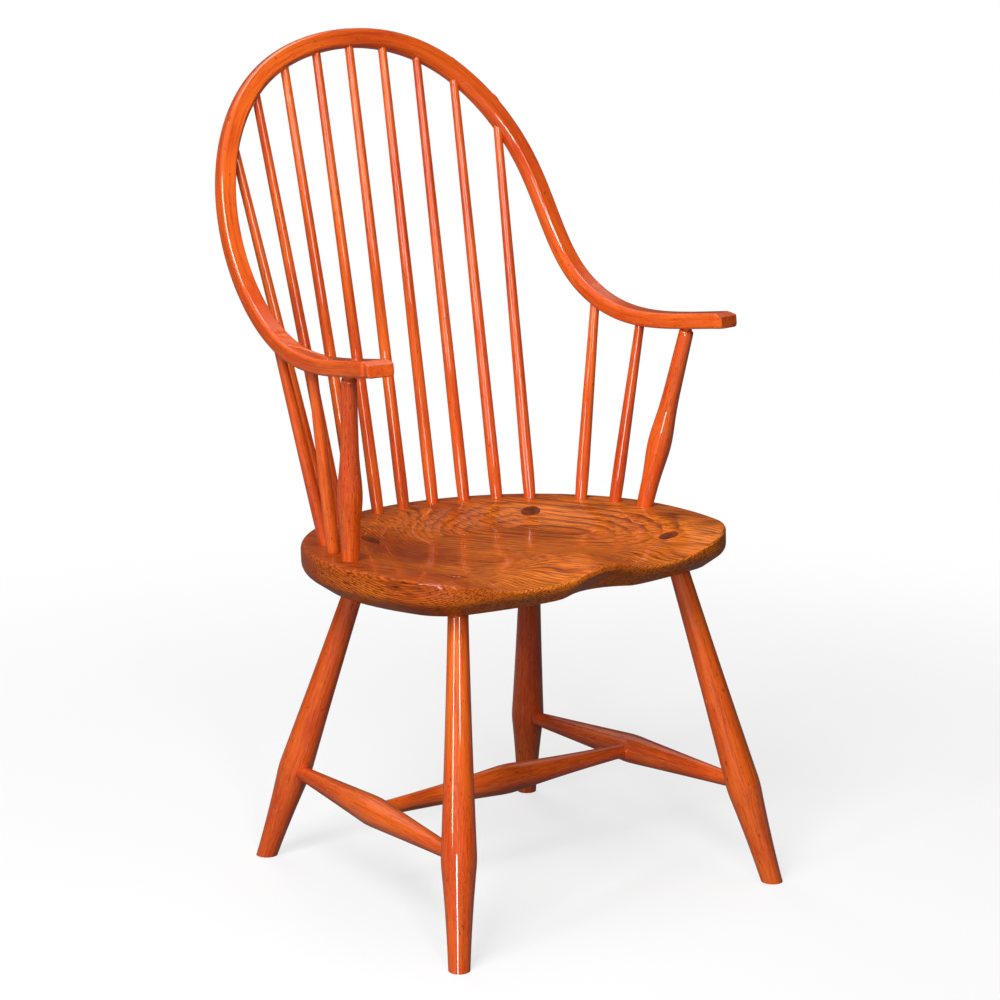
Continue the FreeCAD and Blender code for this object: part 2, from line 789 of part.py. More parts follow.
def mortise_for(name, stretcher, at_end):
    """The mortise that takes one end of a stretcher, as a tool."""
    return cylinder(name, "stretcher_tenon", stretcher.place, *stretcher.reach[at_end])


class Stretcher:
    """A stretcher's body and where its ends lie along its own axis."""

    def __init__(self, name, start, end, past, tenon_reach, hollow):
        span = (end - start).Length / 2
        straight = span - tenon_reach - size("stretcher_straight")
        heights = (-span - past, -straight, 0.0, straight, span + past)
        ends = "stretcher_tenon"
        sizes = (ends, hollow, "stretcher_swell", "stretcher_swell_round", hollow, ends)
        self.place = along((start + end) / 2, end - start, UP)
        self.body = swelled_body(f"{name}_blank", sizes, heights, self.place)
        bottom = span + past + size("mortise_end_gap")
        self.reach = {"start": (-bottom, -span + SPARE), "end": (span - SPARE, bottom)}


side_stretchers = {}
for side, sign in SIDES.items():
    side_stretchers[side] = Stretcher(
        f"side_stretcher_{side}",
        leg_point("front", sign),
        leg_point("rear", sign),
        size("stretcher_past_leg"),
        size("leg_swell") / 2,
        "side_stretcher_hollow",
    )
centre_stretcher = Stretcher(
    "centre_stretcher",
    side_stretchers["left"].place.Base,
    side_stretchers["right"].place.Base,
    size("stretcher_past_side"),
    size("stretcher_swell") / 2,
    "centre_stretcher_hollow",
)
keep(centre_stretcher.body, "centre_stretcher")
for side, at_end in (("left", "start"), ("right", "end")):
    name = f"side_stretcher_{side}"
    mortise = mortise_for(f"{name}_mortise", centre_stretcher, at_end)
    keep(cut(name, side_stretchers[side].body, [mortise]), name)

leg_wedges = []
for end, at_end in (("front", "start"), ("rear", "end")):
    for side, sign in SIDES.items():
        name = f"leg_{end}_{side}"
        foot, deck = leg_line(end, sign)
        span = (deck - foot).Length
        slant = span / deck.z
        tenon_at = span - (size("seat_thickness") + size("leg_tenon_showing")) * slant
        body = swelled_body(
            f"{name}_blank",
            ("leg_foot", "leg_lower_hollow", "leg_swell", "leg_swell_round", "leg_upper_hollow", "leg_tenon"),
            (-SPARE / 2, 0.0, size("leg_swell_height"), tenon_at, span + SPARE / 2),
            along(foot, deck - foot),
        )
        flush, normal = saddle_exit(deck, deck - foot)
        tools, filler = through_tenon(name, body, "leg_tenon", flush, normal, Vector(0, 1, 0))
        leg_wedges.append(filler)
        bore = cylinder(f"{name}_bore", "leg_tenon", body.Placement, span - 3 * SPARE, span + SPARE)
        seat_tools.append(bore)
        floor = above_plane(f"{name}_floor", Vector(foot.x, foot.y, 0), -UP)
        mortise = mortise_for(f"{name}_mortise", side_stretchers[side], at_end)
        keep(cut(f"{name}_sized", cut(name, body, tools), [floor, mortise]), name)

# Seat, bow and wedges

saddled = cut("saddle", make_plank(), [make_saddle_tool()])
scooped = cut("scooped", round_rim(saddled), [make_scoop()])
keep(cut("seat", scooped, seat_tools), "seat")
keep(cut("bow", make_bow_blank(), bow_tools), "bow")
keep(group("leg_wedges_group", leg_wedges), "leg_wedges", len(leg_wedges))
keep(group("bow_wedges_group", bow_wedges), "bow_wedges", len(bow_wedges))

doc.recompute()

# Checks, then one file for each sub-part

for item in doc.Objects:
    if "Invalid" in item.State or "Error" in item.State:
        raise RuntimeError(f"{item.Name} failed: {item.State}")
for piece, solids in pieces:
    if piece.Shape.isNull() or not piece.Shape.isValid() or len(piece.Shape.Solids) != solids:
        raise RuntimeError(f"{piece.Label} isn't {solids} valid solid(s)")

os.makedirs("parts", exist_ok=True)
for piece, solids in pieces:
    piece.Shape.exportStep(os.path.join("parts", f"{piece.Label}.step"))
    print(f"{piece.Label}: {piece.Shape.Volume / 1000:.1f} cm3 in {solids} solid(s)")
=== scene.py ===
# %% [markdown]
# # A continuous arm windsor chair
#
# The chair is a saddled plank with everything else socketed into it: legs from below, and spindles
# and posts from above that carry one steam-bent strip, which is the hoop of the back and both arms.
# The CAD frame gives the sizes and the places. Here each stick is turned again with smooth rings,
# the strip is swept again with crisp rounded edges, the seat is carved again as one smooth surface,
# and all of them get their finish.

import math

import bmesh
import bpy
import numpy as np
from mathutils import Matrix, Vector


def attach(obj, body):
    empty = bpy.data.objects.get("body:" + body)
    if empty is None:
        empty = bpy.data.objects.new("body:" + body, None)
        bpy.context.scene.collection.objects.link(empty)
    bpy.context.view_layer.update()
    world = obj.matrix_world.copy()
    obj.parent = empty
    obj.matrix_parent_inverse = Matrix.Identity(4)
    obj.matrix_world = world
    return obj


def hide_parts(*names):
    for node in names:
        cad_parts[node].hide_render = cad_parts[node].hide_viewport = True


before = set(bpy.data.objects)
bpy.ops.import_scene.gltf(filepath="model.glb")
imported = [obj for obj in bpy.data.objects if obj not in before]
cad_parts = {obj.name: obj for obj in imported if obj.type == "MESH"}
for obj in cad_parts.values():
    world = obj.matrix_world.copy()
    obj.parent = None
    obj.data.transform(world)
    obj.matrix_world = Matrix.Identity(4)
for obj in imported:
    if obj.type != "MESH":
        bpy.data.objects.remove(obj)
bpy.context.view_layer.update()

# %% [markdown]
# ## The camera
#
# The photograph looks at the chair from its front left and a little above, through a long lens from
# about four metres away. These numbers were fitted to the feet, the spindles and the hoop, so the
# render can be laid over the photograph and compared edge by edge.

# %% Camera
CAMERA_PLACE = (-2.2258, -2.9911, 1.3735)
CAMERA_TURN = math.radians(-37.0)
CAMERA_DOWN = math.radians(13.56)
CAMERA_LENS = 110.67

bpy.ops.object.camera_add(location=CAMERA_PLACE, rotation=(math.pi / 2 - CAMERA_DOWN, 0, CAMERA_TURN))
camera = bpy.context.object
camera.data.sensor_width = 36
camera.data.lens = CAMERA_LENS
bpy.context.scene.camera = camera
print("camera lens", camera.data.lens, "mm")

# %% [markdown]
# ## The line of the bow
#
# A chair-maker planes one straight strip, steams it and bends it round a form: up one side, over the
# crown, and down into the other arm. Its line is given by the crown and six places on the right side;
# a thin strip bends as a smooth curve through such places, so we solve for the curve whose bending
# never jumps. The places are metres across, behind the ring of sticks, and above the seat.

# %% Solve for the bent line
RING_Y = -0.0584
SEAT_HEIGHT = 0.4425
BOW_PLACES = {
    "crown": (0, 0.344, 0.5835),
    "crest": (0.127, 0.335, 0.552),
    "shoulder": (0.2315, 0.272, 0.4165),
    "waist": (0.245, 0.184, 0.2805),
    "elbow": (0.249, 0.1105, 0.2435),
    "arm": (0.258, -0.020, 0.2425),
    "hand": (0.263, -0.102, 0.2545),
}
BOW_SAMPLES = 1201


def smooth_curve(places, first_slope, last_slope, samples):
    """Points of a curve through the places, whose bending is even across each of them."""
    gaps = np.linalg.norm(np.diff(places, axis=0), axis=1)
    steps = np.diff(places, axis=0) / gaps[:, None]
    system = np.eye(len(places))
    slopes = np.zeros_like(places)
    slopes[0], slopes[-1] = first_slope, last_slope
    for row in range(1, len(places) - 1):
        before, after = gaps[row - 1], gaps[row]
        system[row, row - 1 : row + 2] = (after, 2 * (before + after), before)
        slopes[row] = 3 * (after * steps[row - 1] + before * steps[row])
    slopes = np.linalg.solve(system, slopes)
    knots = np.concatenate([[0], np.cumsum(gaps)])
    at = np.linspace(0, knots[-1], samples)
    span = np.clip(np.searchsorted(knots, at, side="right") - 1, 0, len(gaps) - 1)
    t = ((at - knots[span]) / gaps[span])[:, None]
    gap = gaps[span][:, None]
    leaving = (1 - t) ** 2 * ((1 + 2 * t) * places[span] + t * gap * slopes[span])
    arriving = t**2 * ((3 - 2 * t) * places[span + 1] + (t - 1) * gap * slopes[span + 1])
    return leaving + arriving


bow_places = np.array(list(BOW_PLACES.values())) + np.array([0, RING_Y, SEAT_HEIGHT])
last_chord = (bow_places[-1] - bow_places[-2]) / np.linalg.norm(bow_places[-1] - bow_places[-2])
bow_line = smooth_curve(bow_places, (1, 0, 0), last_chord, BOW_SAMPLES)
bow_reach = np.concatenate([[0], np.cumsum(np.linalg.norm(np.diff(bow_line, axis=0), axis=1))])
HALF_BOW = bow_reach[-1]
print("half of the bow:", round(HALF_BOW, 4), "m")

# %% [markdown]
# ## Which way the strip faces
#
# In side view the strip never twists: its face looks forward on the hoop and rolls over until it looks
# up on the arms. So the face is square to the line's side view, and the outer edge is square to both.
# Toward the hands the strip flares, as the photograph shows.

# %% Frames along the bow
MIRROR = Vector((-1, 1, 1))
BOW_THICKNESS = 0.020
BOW_WIDTH = 0.025
HAND_WIDTH = 0.0335
HAND_FLARE = 0.350


def bow_point(distance):
    """The middle of the right half at a distance from the crown."""
    return Vector([np.interp(distance, bow_reach, bow_line[:, axis]) for axis in range(3)])


def bow_frame(distance, side):
    """A point of the strip's middle, with the ways to the hand, the outer edge and the face."""
    step = 0.001
    middle = min(max(distance, step), HALF_BOW - step)
    forward = (bow_point(middle + step) - bow_point(middle - step)).normalized()
    face = Vector((0, forward.z, -forward.y)).normalized()
    if distance < step:
        forward = Vector((1, 0, 0))
    edge = face.cross(forward)
    point = bow_point(distance)
    if side < 0:
        return point * MIRROR, forward * MIRROR, edge * MIRROR, face
    return point, forward, edge, face


def bow_width(distance):
    """The strip's width at a distance from the crown."""
    share = max(0.0, 1 - (HALF_BOW - distance) / HAND_FLARE)
    return BOW_WIDTH + (HAND_WIDTH - BOW_WIDTH) * share**2


print("crown:", bow_frame(0, 1)[0], "hand:", bow_frame(HALF_BOW, 1)[0])

# %% [markdown]
# ## Sweeping the strip
#
# A Blender curve with a bevel could follow the line, but it can't flare in one direction only, and it
# picks its own twist. So we sweep as one would by hand: draw the section as a face, then extrude that
# face from station to station and set each new ring in its place. A number on each corner, which every
# extruded copy keeps, tells `loft` where that corner goes next. Each ring also writes down where its
# wood lies in the straight strip, so that later the grain can follow the bend.

# %% Open, close and loft a piece
def start_piece(name):
    """Names the primitive that was just added, and opens it in edit mode."""
    piece = bpy.context.object
    piece.name = name
    piece.data.name = name
    bpy.ops.object.mode_set(mode="EDIT")
    return piece


def close_piece(sharp):
    """Merges what meets, turns every face outwards, and shades smooth what bends less than a sharp angle."""
    bpy.ops.mesh.select_all(action="SELECT")
    bpy.ops.mesh.remove_doubles(threshold=2e-6)
    bpy.ops.mesh.normals_make_consistent(inside=False)
    bpy.ops.object.mode_set(mode="OBJECT")
    bpy.ops.object.shade_smooth_by_angle(angle=math.radians(sharp))


def loft(name, rings, grains, sharp):
    """A closed piece whose end face is extruded from one ring of points to the next."""
    bpy.ops.object.select_all(action="DESELECT")
    bpy.ops.mesh.primitive_circle_add(vertices=len(rings[0]), fill_type="NGON")
    piece = start_piece(name)
    mesh = bmesh.from_edit_mesh(piece.data)
    mesh.verts.layers.int.new("corner")
    mesh.verts.layers.float_vector.new("grain")
    corner = mesh.verts.layers.int["corner"]
    for number, vertex in enumerate(mesh.verts):
        vertex[corner] = number
    for number, (ring, grain) in enumerate(zip(rings, grains)):
        if number:
            bpy.ops.mesh.extrude_region_move()
        mesh = bmesh.from_edit_mesh(piece.data)
        corner = mesh.verts.layers.int["corner"]
        along = mesh.verts.layers.float_vector["grain"]
        for vertex in mesh.verts:
            if vertex.select:
                vertex.co = ring[vertex[corner]]
                vertex[along] = grain[vertex[corner]]
        bmesh.update_edit_mesh(piece.data)
    close_piece(sharp)
    piece.data.attributes.remove(piece.data.attributes["corner"])
    return piece


def open_edges(piece):
    """How many edges aren't shared by exactly two faces, which is none on a closed piece."""
    mesh = bmesh.new()
    mesh.from_mesh(piece.data)
    count = sum(len(edge.link_faces) != 2 for edge in mesh.edges)
    mesh.free()
    return count


# %% [markdown]
# The section is a rectangle with rounded corners. Each flat side has a point just inside each corner, so
# the smooth shading of the round doesn't spread over the flat. On the hoop the maker shaves the lower
# front corner to a flat cut, which fades into the round on the way down to the arms. At the hands the
# strip is sawn at a slight angle, its upper end edge is bevelled, and the last rings ease the end.

# %% The bow
BOW_ROUND = 0.0046
BOW_ROUND_STEPS = 5
BOW_RINGS = 150
HAND_ANGLE = math.radians(9)
HAND_BEVEL = 0.010
HAND_DROP = 0.005
HAND_EASE = 0.0012
HAND_LEAD = 0.006
CUT_FACE, CUT_EDGE = 0.0050, 0.0085
CUT_BREAK = 0.0007
CUT_FADE, CUT_END = 0.30, 0.75


def flat_cut(width, thickness):
    """Points of a flat cut across the corner between the face and the inner edge, its two ends broken."""
    first, last = Vector((CUT_FACE - width / 2, thickness / 2)), Vector((-width / 2, thickness / 2 - CUT_EDGE))
    way = (last - first).normalized()
    start = [first + Vector((CUT_BREAK, 0)), first + way * CUT_BREAK]
    end = [last - way * CUT_BREAK, last - Vector((0, CUT_BREAK))]
    return start + [first.lerp(last, 0.35), first.lerp(last, 0.65)] + end


def strip_section(width, thickness, cut=0.0):
    """Corner points of the section, as (across, up) pairs round the strip, its lower front corner cut or round."""
    support = 0.001
    bend = BOW_ROUND
    across, up = width / 2 - bend, thickness / 2 - bend
    points = []
    for quarter, (right, top) in enumerate(((1, 1), (-1, 1), (-1, -1), (1, -1))):
        start = quarter * math.pi / 2
        middle = Vector((right * across, top * up))
        turns = [start + math.pi / 2 * step / BOW_ROUND_STEPS for step in range(BOW_ROUND_STEPS + 1)]
        rounds = [middle + bend * Vector((math.cos(turn), math.sin(turn))) for turn in turns]
        if quarter == 1:
            rounds = [old.lerp(new, cut) for old, new in zip(rounds, flat_cut(width, thickness))]
        back = Vector((math.sin(start), -math.cos(start)))
        ahead = Vector((-math.cos(start), -math.sin(start)))
        points += [rounds[0] + back * support, *rounds, rounds[-1] + ahead * support]
    return points


def hand_rings(side):
    """Rings and grain from where an arm's end begins to be shaped, to its eased end."""
    point, forward, edge, face = bow_frame(HALF_BOW, side)
    sawn = edge * math.cos(HAND_ANGLE) - forward * math.sin(HAND_ANGLE)
    square = forward * math.cos(HAND_ANGLE) + edge * math.sin(HAND_ANGLE)
    half = BOW_THICKNESS / 2
    bevel_steps = 4
    rings, grains = [], []
    for step in range(bevel_steps + 1):
        back = HAND_BEVEL * (1 - step / bevel_steps)
        top = half - HAND_DROP * step / bevel_steps
        section = [Vector((a, min(u, top))) for a, u in strip_section(HAND_WIDTH, BOW_THICKNESS)]
        middle = point - square * (back + HAND_EASE)
        rings.append([middle + sawn * a + face * u for a, u in section])
        grains.append([Vector((a, u, side * (HALF_BOW - back))) for a, u in section])
    eased = [Vector((a * (1 - 2 * HAND_EASE / HAND_WIDTH), u * (1 - HAND_EASE / half))) for a, u in section]
    rings.append([point + sawn * a + face * u for a, u in eased])
    grains.append([Vector((a, u, side * HALF_BOW)) for a, u in eased])
    return rings, grains


def make_bow():
    """The whole strip, from the left hand over the crown to the right hand."""
    left_rings, left_grains = hand_rings(-1)
    rings, grains = left_rings[::-1], left_grains[::-1]
    last = HALF_BOW - HAND_BEVEL - HAND_LEAD
    for number in range(-BOW_RINGS, BOW_RINGS + 1):
        distance = last * abs(number) / BOW_RINGS
        side = -1 if number < 0 else 1
        point, forward, edge, face = bow_frame(distance, side)
        fade = min(max((distance - CUT_FADE) / (CUT_END - CUT_FADE), 0), 1)
        cut = math.cos(math.pi / 2 * fade) ** 2
        section = strip_section(bow_width(distance), BOW_THICKNESS, cut)
        rings.append([point + edge * a + face * u for a, u in section])
        grains.append([Vector((a, u, side * distance)) for a, u in section])
    right_rings, right_grains = hand_rings(1)
    return loft("bent_bow", rings + right_rings, grains + right_grains, 40)


bow = make_bow()
print("bow:", len(bow.data.polygons), "faces,", open_edges(bow), "open edges")

# %% [markdown]
# ## The seat's plan and saddle
#
# The plank's plan is a few arcs: a half circle behind, two flatter sides, a nearly straight front, and
# rounded front corners. The hollow is a formula in the plank's own coordinates: a bowl that stops short
# of the ring of sticks, two shallower valleys for the thighs that run out over the front edge, and a
# ridge between them, the pommel. A formula gives one smooth surface, which sculpting by hand wouldn't.

# %% The hollow of the saddle
SEAT_TILT = math.radians(2.7)
SEAT_RADIUS = 0.259
SEAT_FRONT = 0.194
BOWL_RIM = 0.228
BOWL_FLOOR = 0.105
BOWL_DEPTH = 0.021
THIGH_DEPTH = 0.014
FRONT_ROLL = 0.0075
FRONT_ROLL_REACH = 0.085
POMMEL_HEIGHT = 0.014
POMMEL_WIDTH = 0.045
POMMEL_START = 0.060


def ease(share):
    """A step from 0 to 1 that starts and ends without a bend."""
    share = min(max(share, 0.0), 1.0)
    return share**3 * (share * (share * 6 - 15) + 10)


def saddle_depth(x, y):
    """How far the saddle lies below the plank's flat top."""
    reach = math.hypot(x, max(y, 0.0))
    bowl = ease((BOWL_RIM - reach) / (BOWL_RIM - BOWL_FLOOR))
    floor = BOWL_DEPTH + (THIGH_DEPTH - BOWL_DEPTH) * ease(-y / SEAT_FRONT)
    roll = FRONT_ROLL * ease(1 - (y + SEAT_FRONT) / FRONT_ROLL_REACH)
    ridge = POMMEL_HEIGHT * math.exp(-((x / POMMEL_WIDTH) ** 2))
    return bowl * floor + roll - ridge * ease((POMMEL_START - y) / (POMMEL_START + SEAT_FRONT))


SEAT_PLACE = Matrix.Translation((0, RING_Y, SEAT_HEIGHT)) @ Matrix.Rotation(-SEAT_TILT, 4, "X")
print("deepest place:", round(max(saddle_depth(0, y / 1000) for y in range(-180, 200, 10)), 4), "m")

# %% The plan's arcs
SIDE_RADIUS = 0.395
FRONT_RADIUS = 0.820
CORNER_RADIUS = 0.086
PLAN_STEP = 0.0045


def plan_arcs():
    """The right half of the plan from back to front, as (middle, radius, start, end) arcs."""
    side_middle = Vector((SEAT_RADIUS - SIDE_RADIUS, 0))
    front_middle = Vector((0, FRONT_RADIUS - SEAT_FRONT))
    side_gap, front_gap = SIDE_RADIUS - CORNER_RADIUS, FRONT_RADIUS - CORNER_RADIUS
    line = front_middle - side_middle
    share = (side_gap**2 - front_gap**2 + line.length**2) / (2 * line.length)
    ahead = line.normalized()
    aside = Vector((ahead.y, -ahead.x)) * math.sqrt(side_gap**2 - share**2)
    corner = side_middle + ahead * share + aside
    side_end = math.atan2(*(corner - side_middle).yx)
    front_start = math.atan2(*(corner - front_middle).yx)
    return [
        (Vector((0, 0)), SEAT_RADIUS, math.pi / 2, 0.0),
        (side_middle, SIDE_RADIUS, 0.0, side_end),
        (corner, CORNER_RADIUS, side_end, front_start),
        (front_middle, FRONT_RADIUS, front_start, -math.pi / 2),
    ]


def plan_points():
    """Points round the whole plan, each with its outward direction."""
    half = []
    for middle, radius, start, end in plan_arcs():
        steps = max(4, round(radius * abs(start - end) / PLAN_STEP))
        for step in range(steps):
            turn = start + (end - start) * step / steps
            out = Vector((math.cos(turn), math.sin(turn)))
            half.append((middle + out * radius, out))
    half.append((Vector((0, -SEAT_FRONT)), Vector((0, -1))))
    flip = Vector((-1, 1))
    return half + [(point * flip, out * flip) for point, out in half[-2:0:-1]]


seat_plan = plan_points()
print("plan points:", len(seat_plan))

# %% [markdown]
# ## The seat's edge
#
# Seen in section, the edge runs straight down, rounds over, and slants in to the underside, which makes
# a thick plank look light. On top, a rounded rim joins the edge to the saddle: soft behind, where the
# sitter's back never comes, and crisp along the front. The rim's round touches both, so it follows the
# dips that the thigh valleys cut in the front edge. Under the pommel the maker scoops the plank from
# below with a round cutter, so that only a thin lip is left there, and softens the ends of the cut.

# %% Sections of the edge
SEAT_THICKNESS = 0.0475
UPRIGHT_EDGE = 0.030
BEVEL_IN = 0.025
BEVEL_ROUND = 0.016
BACK_RIM, FRONT_RIM = 0.0075, 0.0035
RIM_STEPS = 7
EDGE_STEPS = 14
SCOOP_RADIUS = 0.120
SCOOP_LIP = 0.0165
SCOOP_ANGLE = math.radians(38)
SCOOP_SOFT = 0.006
UNDER_STEPS = (0.004, 0.008, 0.012, 0.016, 0.022)

bevel_turn = math.atan2(BEVEL_IN, SEAT_THICKNESS - UPRIGHT_EDGE)
round_start = UPRIGHT_EDGE - BEVEL_ROUND * math.tan(bevel_turn / 2)
round_length = BEVEL_ROUND * bevel_turn
bevel_length = math.hypot(BEVEL_IN, SEAT_THICKNESS - UPRIGHT_EDGE) - BEVEL_ROUND * math.tan(bevel_turn / 2)
edge_length = round_start + round_length + bevel_length


def edge_point(way):
    """A place on the edge's section, a distance down from the flat top: (inwards, height)."""
    turn = min(max(way - round_start, 0.0) / BEVEL_ROUND, bevel_turn)
    run = max(0.0, way - round_start - round_length)
    inward = BEVEL_ROUND * (1 - math.cos(turn)) + run * math.sin(bevel_turn)
    down = min(way, round_start) + BEVEL_ROUND * math.sin(turn) + run * math.cos(bevel_turn)
    return Vector((inward, -down))


def scoop_height(x, y):
    """How high the scoop cuts into the plank, measured from its flat top."""
    sag = SCOOP_RADIUS - math.sqrt(max(0.0, SCOOP_RADIUS**2 - x**2))
    return -SCOOP_LIP - sag / math.cos(SCOOP_ANGLE) - (y + SEAT_FRONT) * math.tan(SCOOP_ANGLE)


def edge_section(point, out):
    """The section from the saddle over the rim and down the edge, at one point of the plan."""

    def saddle_point(inward):
        place = point - out * inward
        return Vector((inward, -saddle_depth(*place)))

    def scooped(place):
        cut = scoop_height(*(point - out * place.x))
        return Vector((place.x, (place.y + cut + math.hypot(place.y - cut, SCOOP_SOFT)) / 2))

    rim = FRONT_RIM + (BACK_RIM - FRONT_RIM) * ease(1 + point.y / SEAT_FRONT)

    way = 0.0
    for _ in range(12):
        way += edge_point(way).y - saddle_point(edge_point(way).x).y
    meeting = edge_point(way)
    top_run = (saddle_point(meeting.x + rim) - meeting).normalized()
    edge_run = (edge_point(way + rim) - meeting).normalized()
    opening = math.acos(max(-1.0, min(1.0, top_run.dot(edge_run))))
    reach = rim / math.tan(opening / 2)
    start, end = saddle_point(meeting.x + reach), edge_point(way + reach)
    weight = math.sin(opening / 2)
    section = []
    for step in range(RIM_STEPS + 1):
        t = step / RIM_STEPS
        shares = ((1 - t) ** 2, 2 * weight * t * (1 - t), t**2)
        blend = start * shares[0] + meeting * shares[1] + end * shares[2]
        section.append(blend / sum(shares))
    for step in range(1, EDGE_STEPS + 1):
        section.append(scooped(edge_point(way + reach + (edge_length - way - reach) * step / EDGE_STEPS)))
    for inward in UNDER_STEPS:
        section.append(scooped(Vector((BEVEL_IN + inward, -SEAT_THICKNESS))))
    return section


print("edge from rim to underside:", round(edge_length, 4), "m")

# %% [markdown]
# Now the seat is lofted like the bow, but from the outside in: the first ring lies on the underside, the
# next ones climb the edge and turn over the rim, and the last ones shrink over the saddle to its middle,
# where they are merged into one point.

# %% The seat
SADDLE_RINGS = 46
SEAT_MIDDLE = Vector((0, 0.020))


def make_seat():
    """The saddled plank, lofted from its underside to the middle of the saddle."""
    sections = [edge_section(point, out) for point, out in seat_plan]
    flat_rings = []
    for level in range(len(sections[0]) - 1, -1, -1):
        flat_rings.append([(p - out * s[level].x, s[level].y) for (p, out), s in zip(seat_plan, sections)])
    rim = [place for place, height in flat_rings[-1]]
    underside = [(SEAT_MIDDLE + (place - SEAT_MIDDLE) * 0.5, height) for place, height in flat_rings[0]]
    for ring in range(1, SADDLE_RINGS + 1):
        share = 1 - ring / (SADDLE_RINGS + 0.2)
        shrunk = [SEAT_MIDDLE + (place - SEAT_MIDDLE) * share for place in rim]
        flat_rings.append([(place, -saddle_depth(*place)) for place in shrunk])
    rings = [[SEAT_PLACE @ Vector((*p, z)) for p, z in ring] for ring in [underside] + flat_rings]
    return loft("carved_seat", rings, rings, 40)


seat = make_seat()
print("seat:", len(seat.data.polygons), "faces,", open_edges(seat), "open edges")

# %% [markdown]
# ## A lathe
#
# Every stick of the chair is turned or shaved round. In Blender the lathe is Spin: one vertex is extruded
# along half of the stick's outline, and Spin carries that line once round the axis. The ends of the line
# lie on the axis, so the piece closes there. A stick is turned at the origin, where its wood's own
# coordinates are easy to note for the grain, and then stood on its line and sawn off where it ends.

# %% Turn, copy, stand and saw a stick
TURN_STEPS = 40


def lathe(name, outline):
    """A stick turned from (radius, height) points."""
    bpy.ops.object.select_all(action="DESELECT")
    bpy.ops.mesh.primitive_plane_add(size=0.001)
    piece = start_piece(name)
    bpy.ops.mesh.merge(type="CENTER")
    bpy.ops.transform.translate(value=(outline[0][0], 0, outline[0][1]))
    for (radius, height), (next_radius, next_height) in zip(outline, outline[1:]):
        step = (next_radius - radius, 0, next_height - height)
        bpy.ops.mesh.extrude_vertices_move(TRANSFORM_OT_translate={"value": step})
    bpy.ops.mesh.select_all(action="SELECT")
    bpy.ops.mesh.spin(steps=TURN_STEPS, angle=math.tau, center=(0, 0, 0), axis=(0, 0, 1))
    close_piece(40)
    return piece


def choose(piece):
    """Selects one piece and nothing else."""
    bpy.ops.object.select_all(action="DESELECT")
    piece.select_set(True)
    bpy.context.view_layer.objects.active = piece


def copy_of(piece, name):
    """A copy with its own mesh."""
    choose(piece)
    bpy.ops.object.duplicate(linked=False)
    copy = bpy.context.object
    copy.name = name
    copy.data.name = name
    return copy


def note_grain(piece, number):
    """Keeps where each point lay on the lathe, shifted so that no two sticks show the same wood."""
    grain = piece.data.attributes.new("grain", "FLOAT_VECTOR", "POINT")
    shift = Vector((0.31, 0.17, 1.3)) * number
    for vertex, spot in zip(piece.data.vertices, grain.data):
        spot.vector = vertex.co + shift


def saw(piece, point, out):
    """Saws off what lies past a plane; the sawn face stays selected in edit mode."""
    choose(piece)
    bpy.ops.object.mode_set(mode="EDIT")
    bpy.ops.mesh.select_all(action="SELECT")
    bpy.ops.mesh.bisect(plane_co=point, plane_no=out, use_fill=True, clear_outer=True)


def stand(piece, foot, top):
    """Moves a stick from the lathe to its line on the chair, and applies its place to its mesh."""
    global stick_number
    stick_number += 1
    note_grain(piece, stick_number)
    turn = (top - foot).to_track_quat("Z", "X").to_matrix().to_4x4()
    piece.matrix_world = Matrix.Translation(foot) @ turn
    choose(piece)
    bpy.ops.object.transform_apply(location=True, rotation=True, scale=True)


def fit_pair(fit, node, outline, start, end, *more):
    """Turns a stick, and fits it on the right and a copy on the left."""
    right, left = node.format("right"), node.format("left")
    turned = lathe(f"turned_{right}", outline)
    twin = copy_of(turned, f"turned_{left}")
    fit(turned, right, start, end, *more)
    fit(twin, left, start * MIRROR, end * MIRROR, *more)


sticks = {}
stick_number = 0

# %% [markdown]
# ## The spindles
#
# A spindle is straight in its mortise, swells just above the seat, and tapers to a thin tip that goes
# through the bow. Feet are spread evenly on a ring about the seat, and tops along the bow. The tips are
# wedged from outside and cut flush. The hoop is round, so a flat cut across a slanting tip would stand
# out at one side, and those tips are sawn a little deeper.

# %% Outline of a spindle
SPINDLE_MORTISE = 0.0234
SWELL_HEIGHT = 0.038
TIP_LENGTH = 0.014
SPARE = 0.030
ARC_STEPS = 14


def arc_points(middle, radius, start, end, steps=ARC_STEPS):
    """Points along an arc, both ends included."""
    turns = [start + (end - start) * step / steps for step in range(steps + 1)]
    return [middle + radius * Vector((math.cos(turn), math.sin(turn))) for turn in turns]


def spindle_outline(span, foot, swell, tip):
    """Half of a spindle's section, from radii at the foot, the swell and the tip."""
    rise = swell - foot
    bend = (SWELL_HEIGHT**2 + rise**2) / (2 * rise)
    middle = Vector((swell - bend, SWELL_HEIGHT))
    tip_start = Vector((tip, span - BOW_WIDTH / 2 - TIP_LENGTH))
    line = tip_start - middle
    touch = math.atan2(line.y, line.x) - math.acos(bend / line.length)
    start = math.atan2(-SWELL_HEIGHT, foot - middle.x)
    bottom = [(0, -SPINDLE_MORTISE), (foot, -SPINDLE_MORTISE)]
    end = [tip_start, (tip, span + SPARE), (0, span + SPARE)]
    return bottom + arc_points(middle, bend, start, touch) + end


# %% Where the uprights meet the seat and the bow
RING_RADIUS = 0.2285
TIP_PROUD = 0.00005
LEG_PROUD = 0.0002
HOOP_RADIUS = 0.1


def ring_point(angle):
    """A foot on the ring of sticks, at an angle in degrees from straight back."""
    turn = math.radians(angle)
    return SEAT_PLACE @ Vector((RING_RADIUS * math.sin(turn), RING_RADIUS * math.cos(turn), 0))


def sided(point, side):
    """The point itself, or its mirror image on the left."""
    return point * MIRROR if side < 0 else point


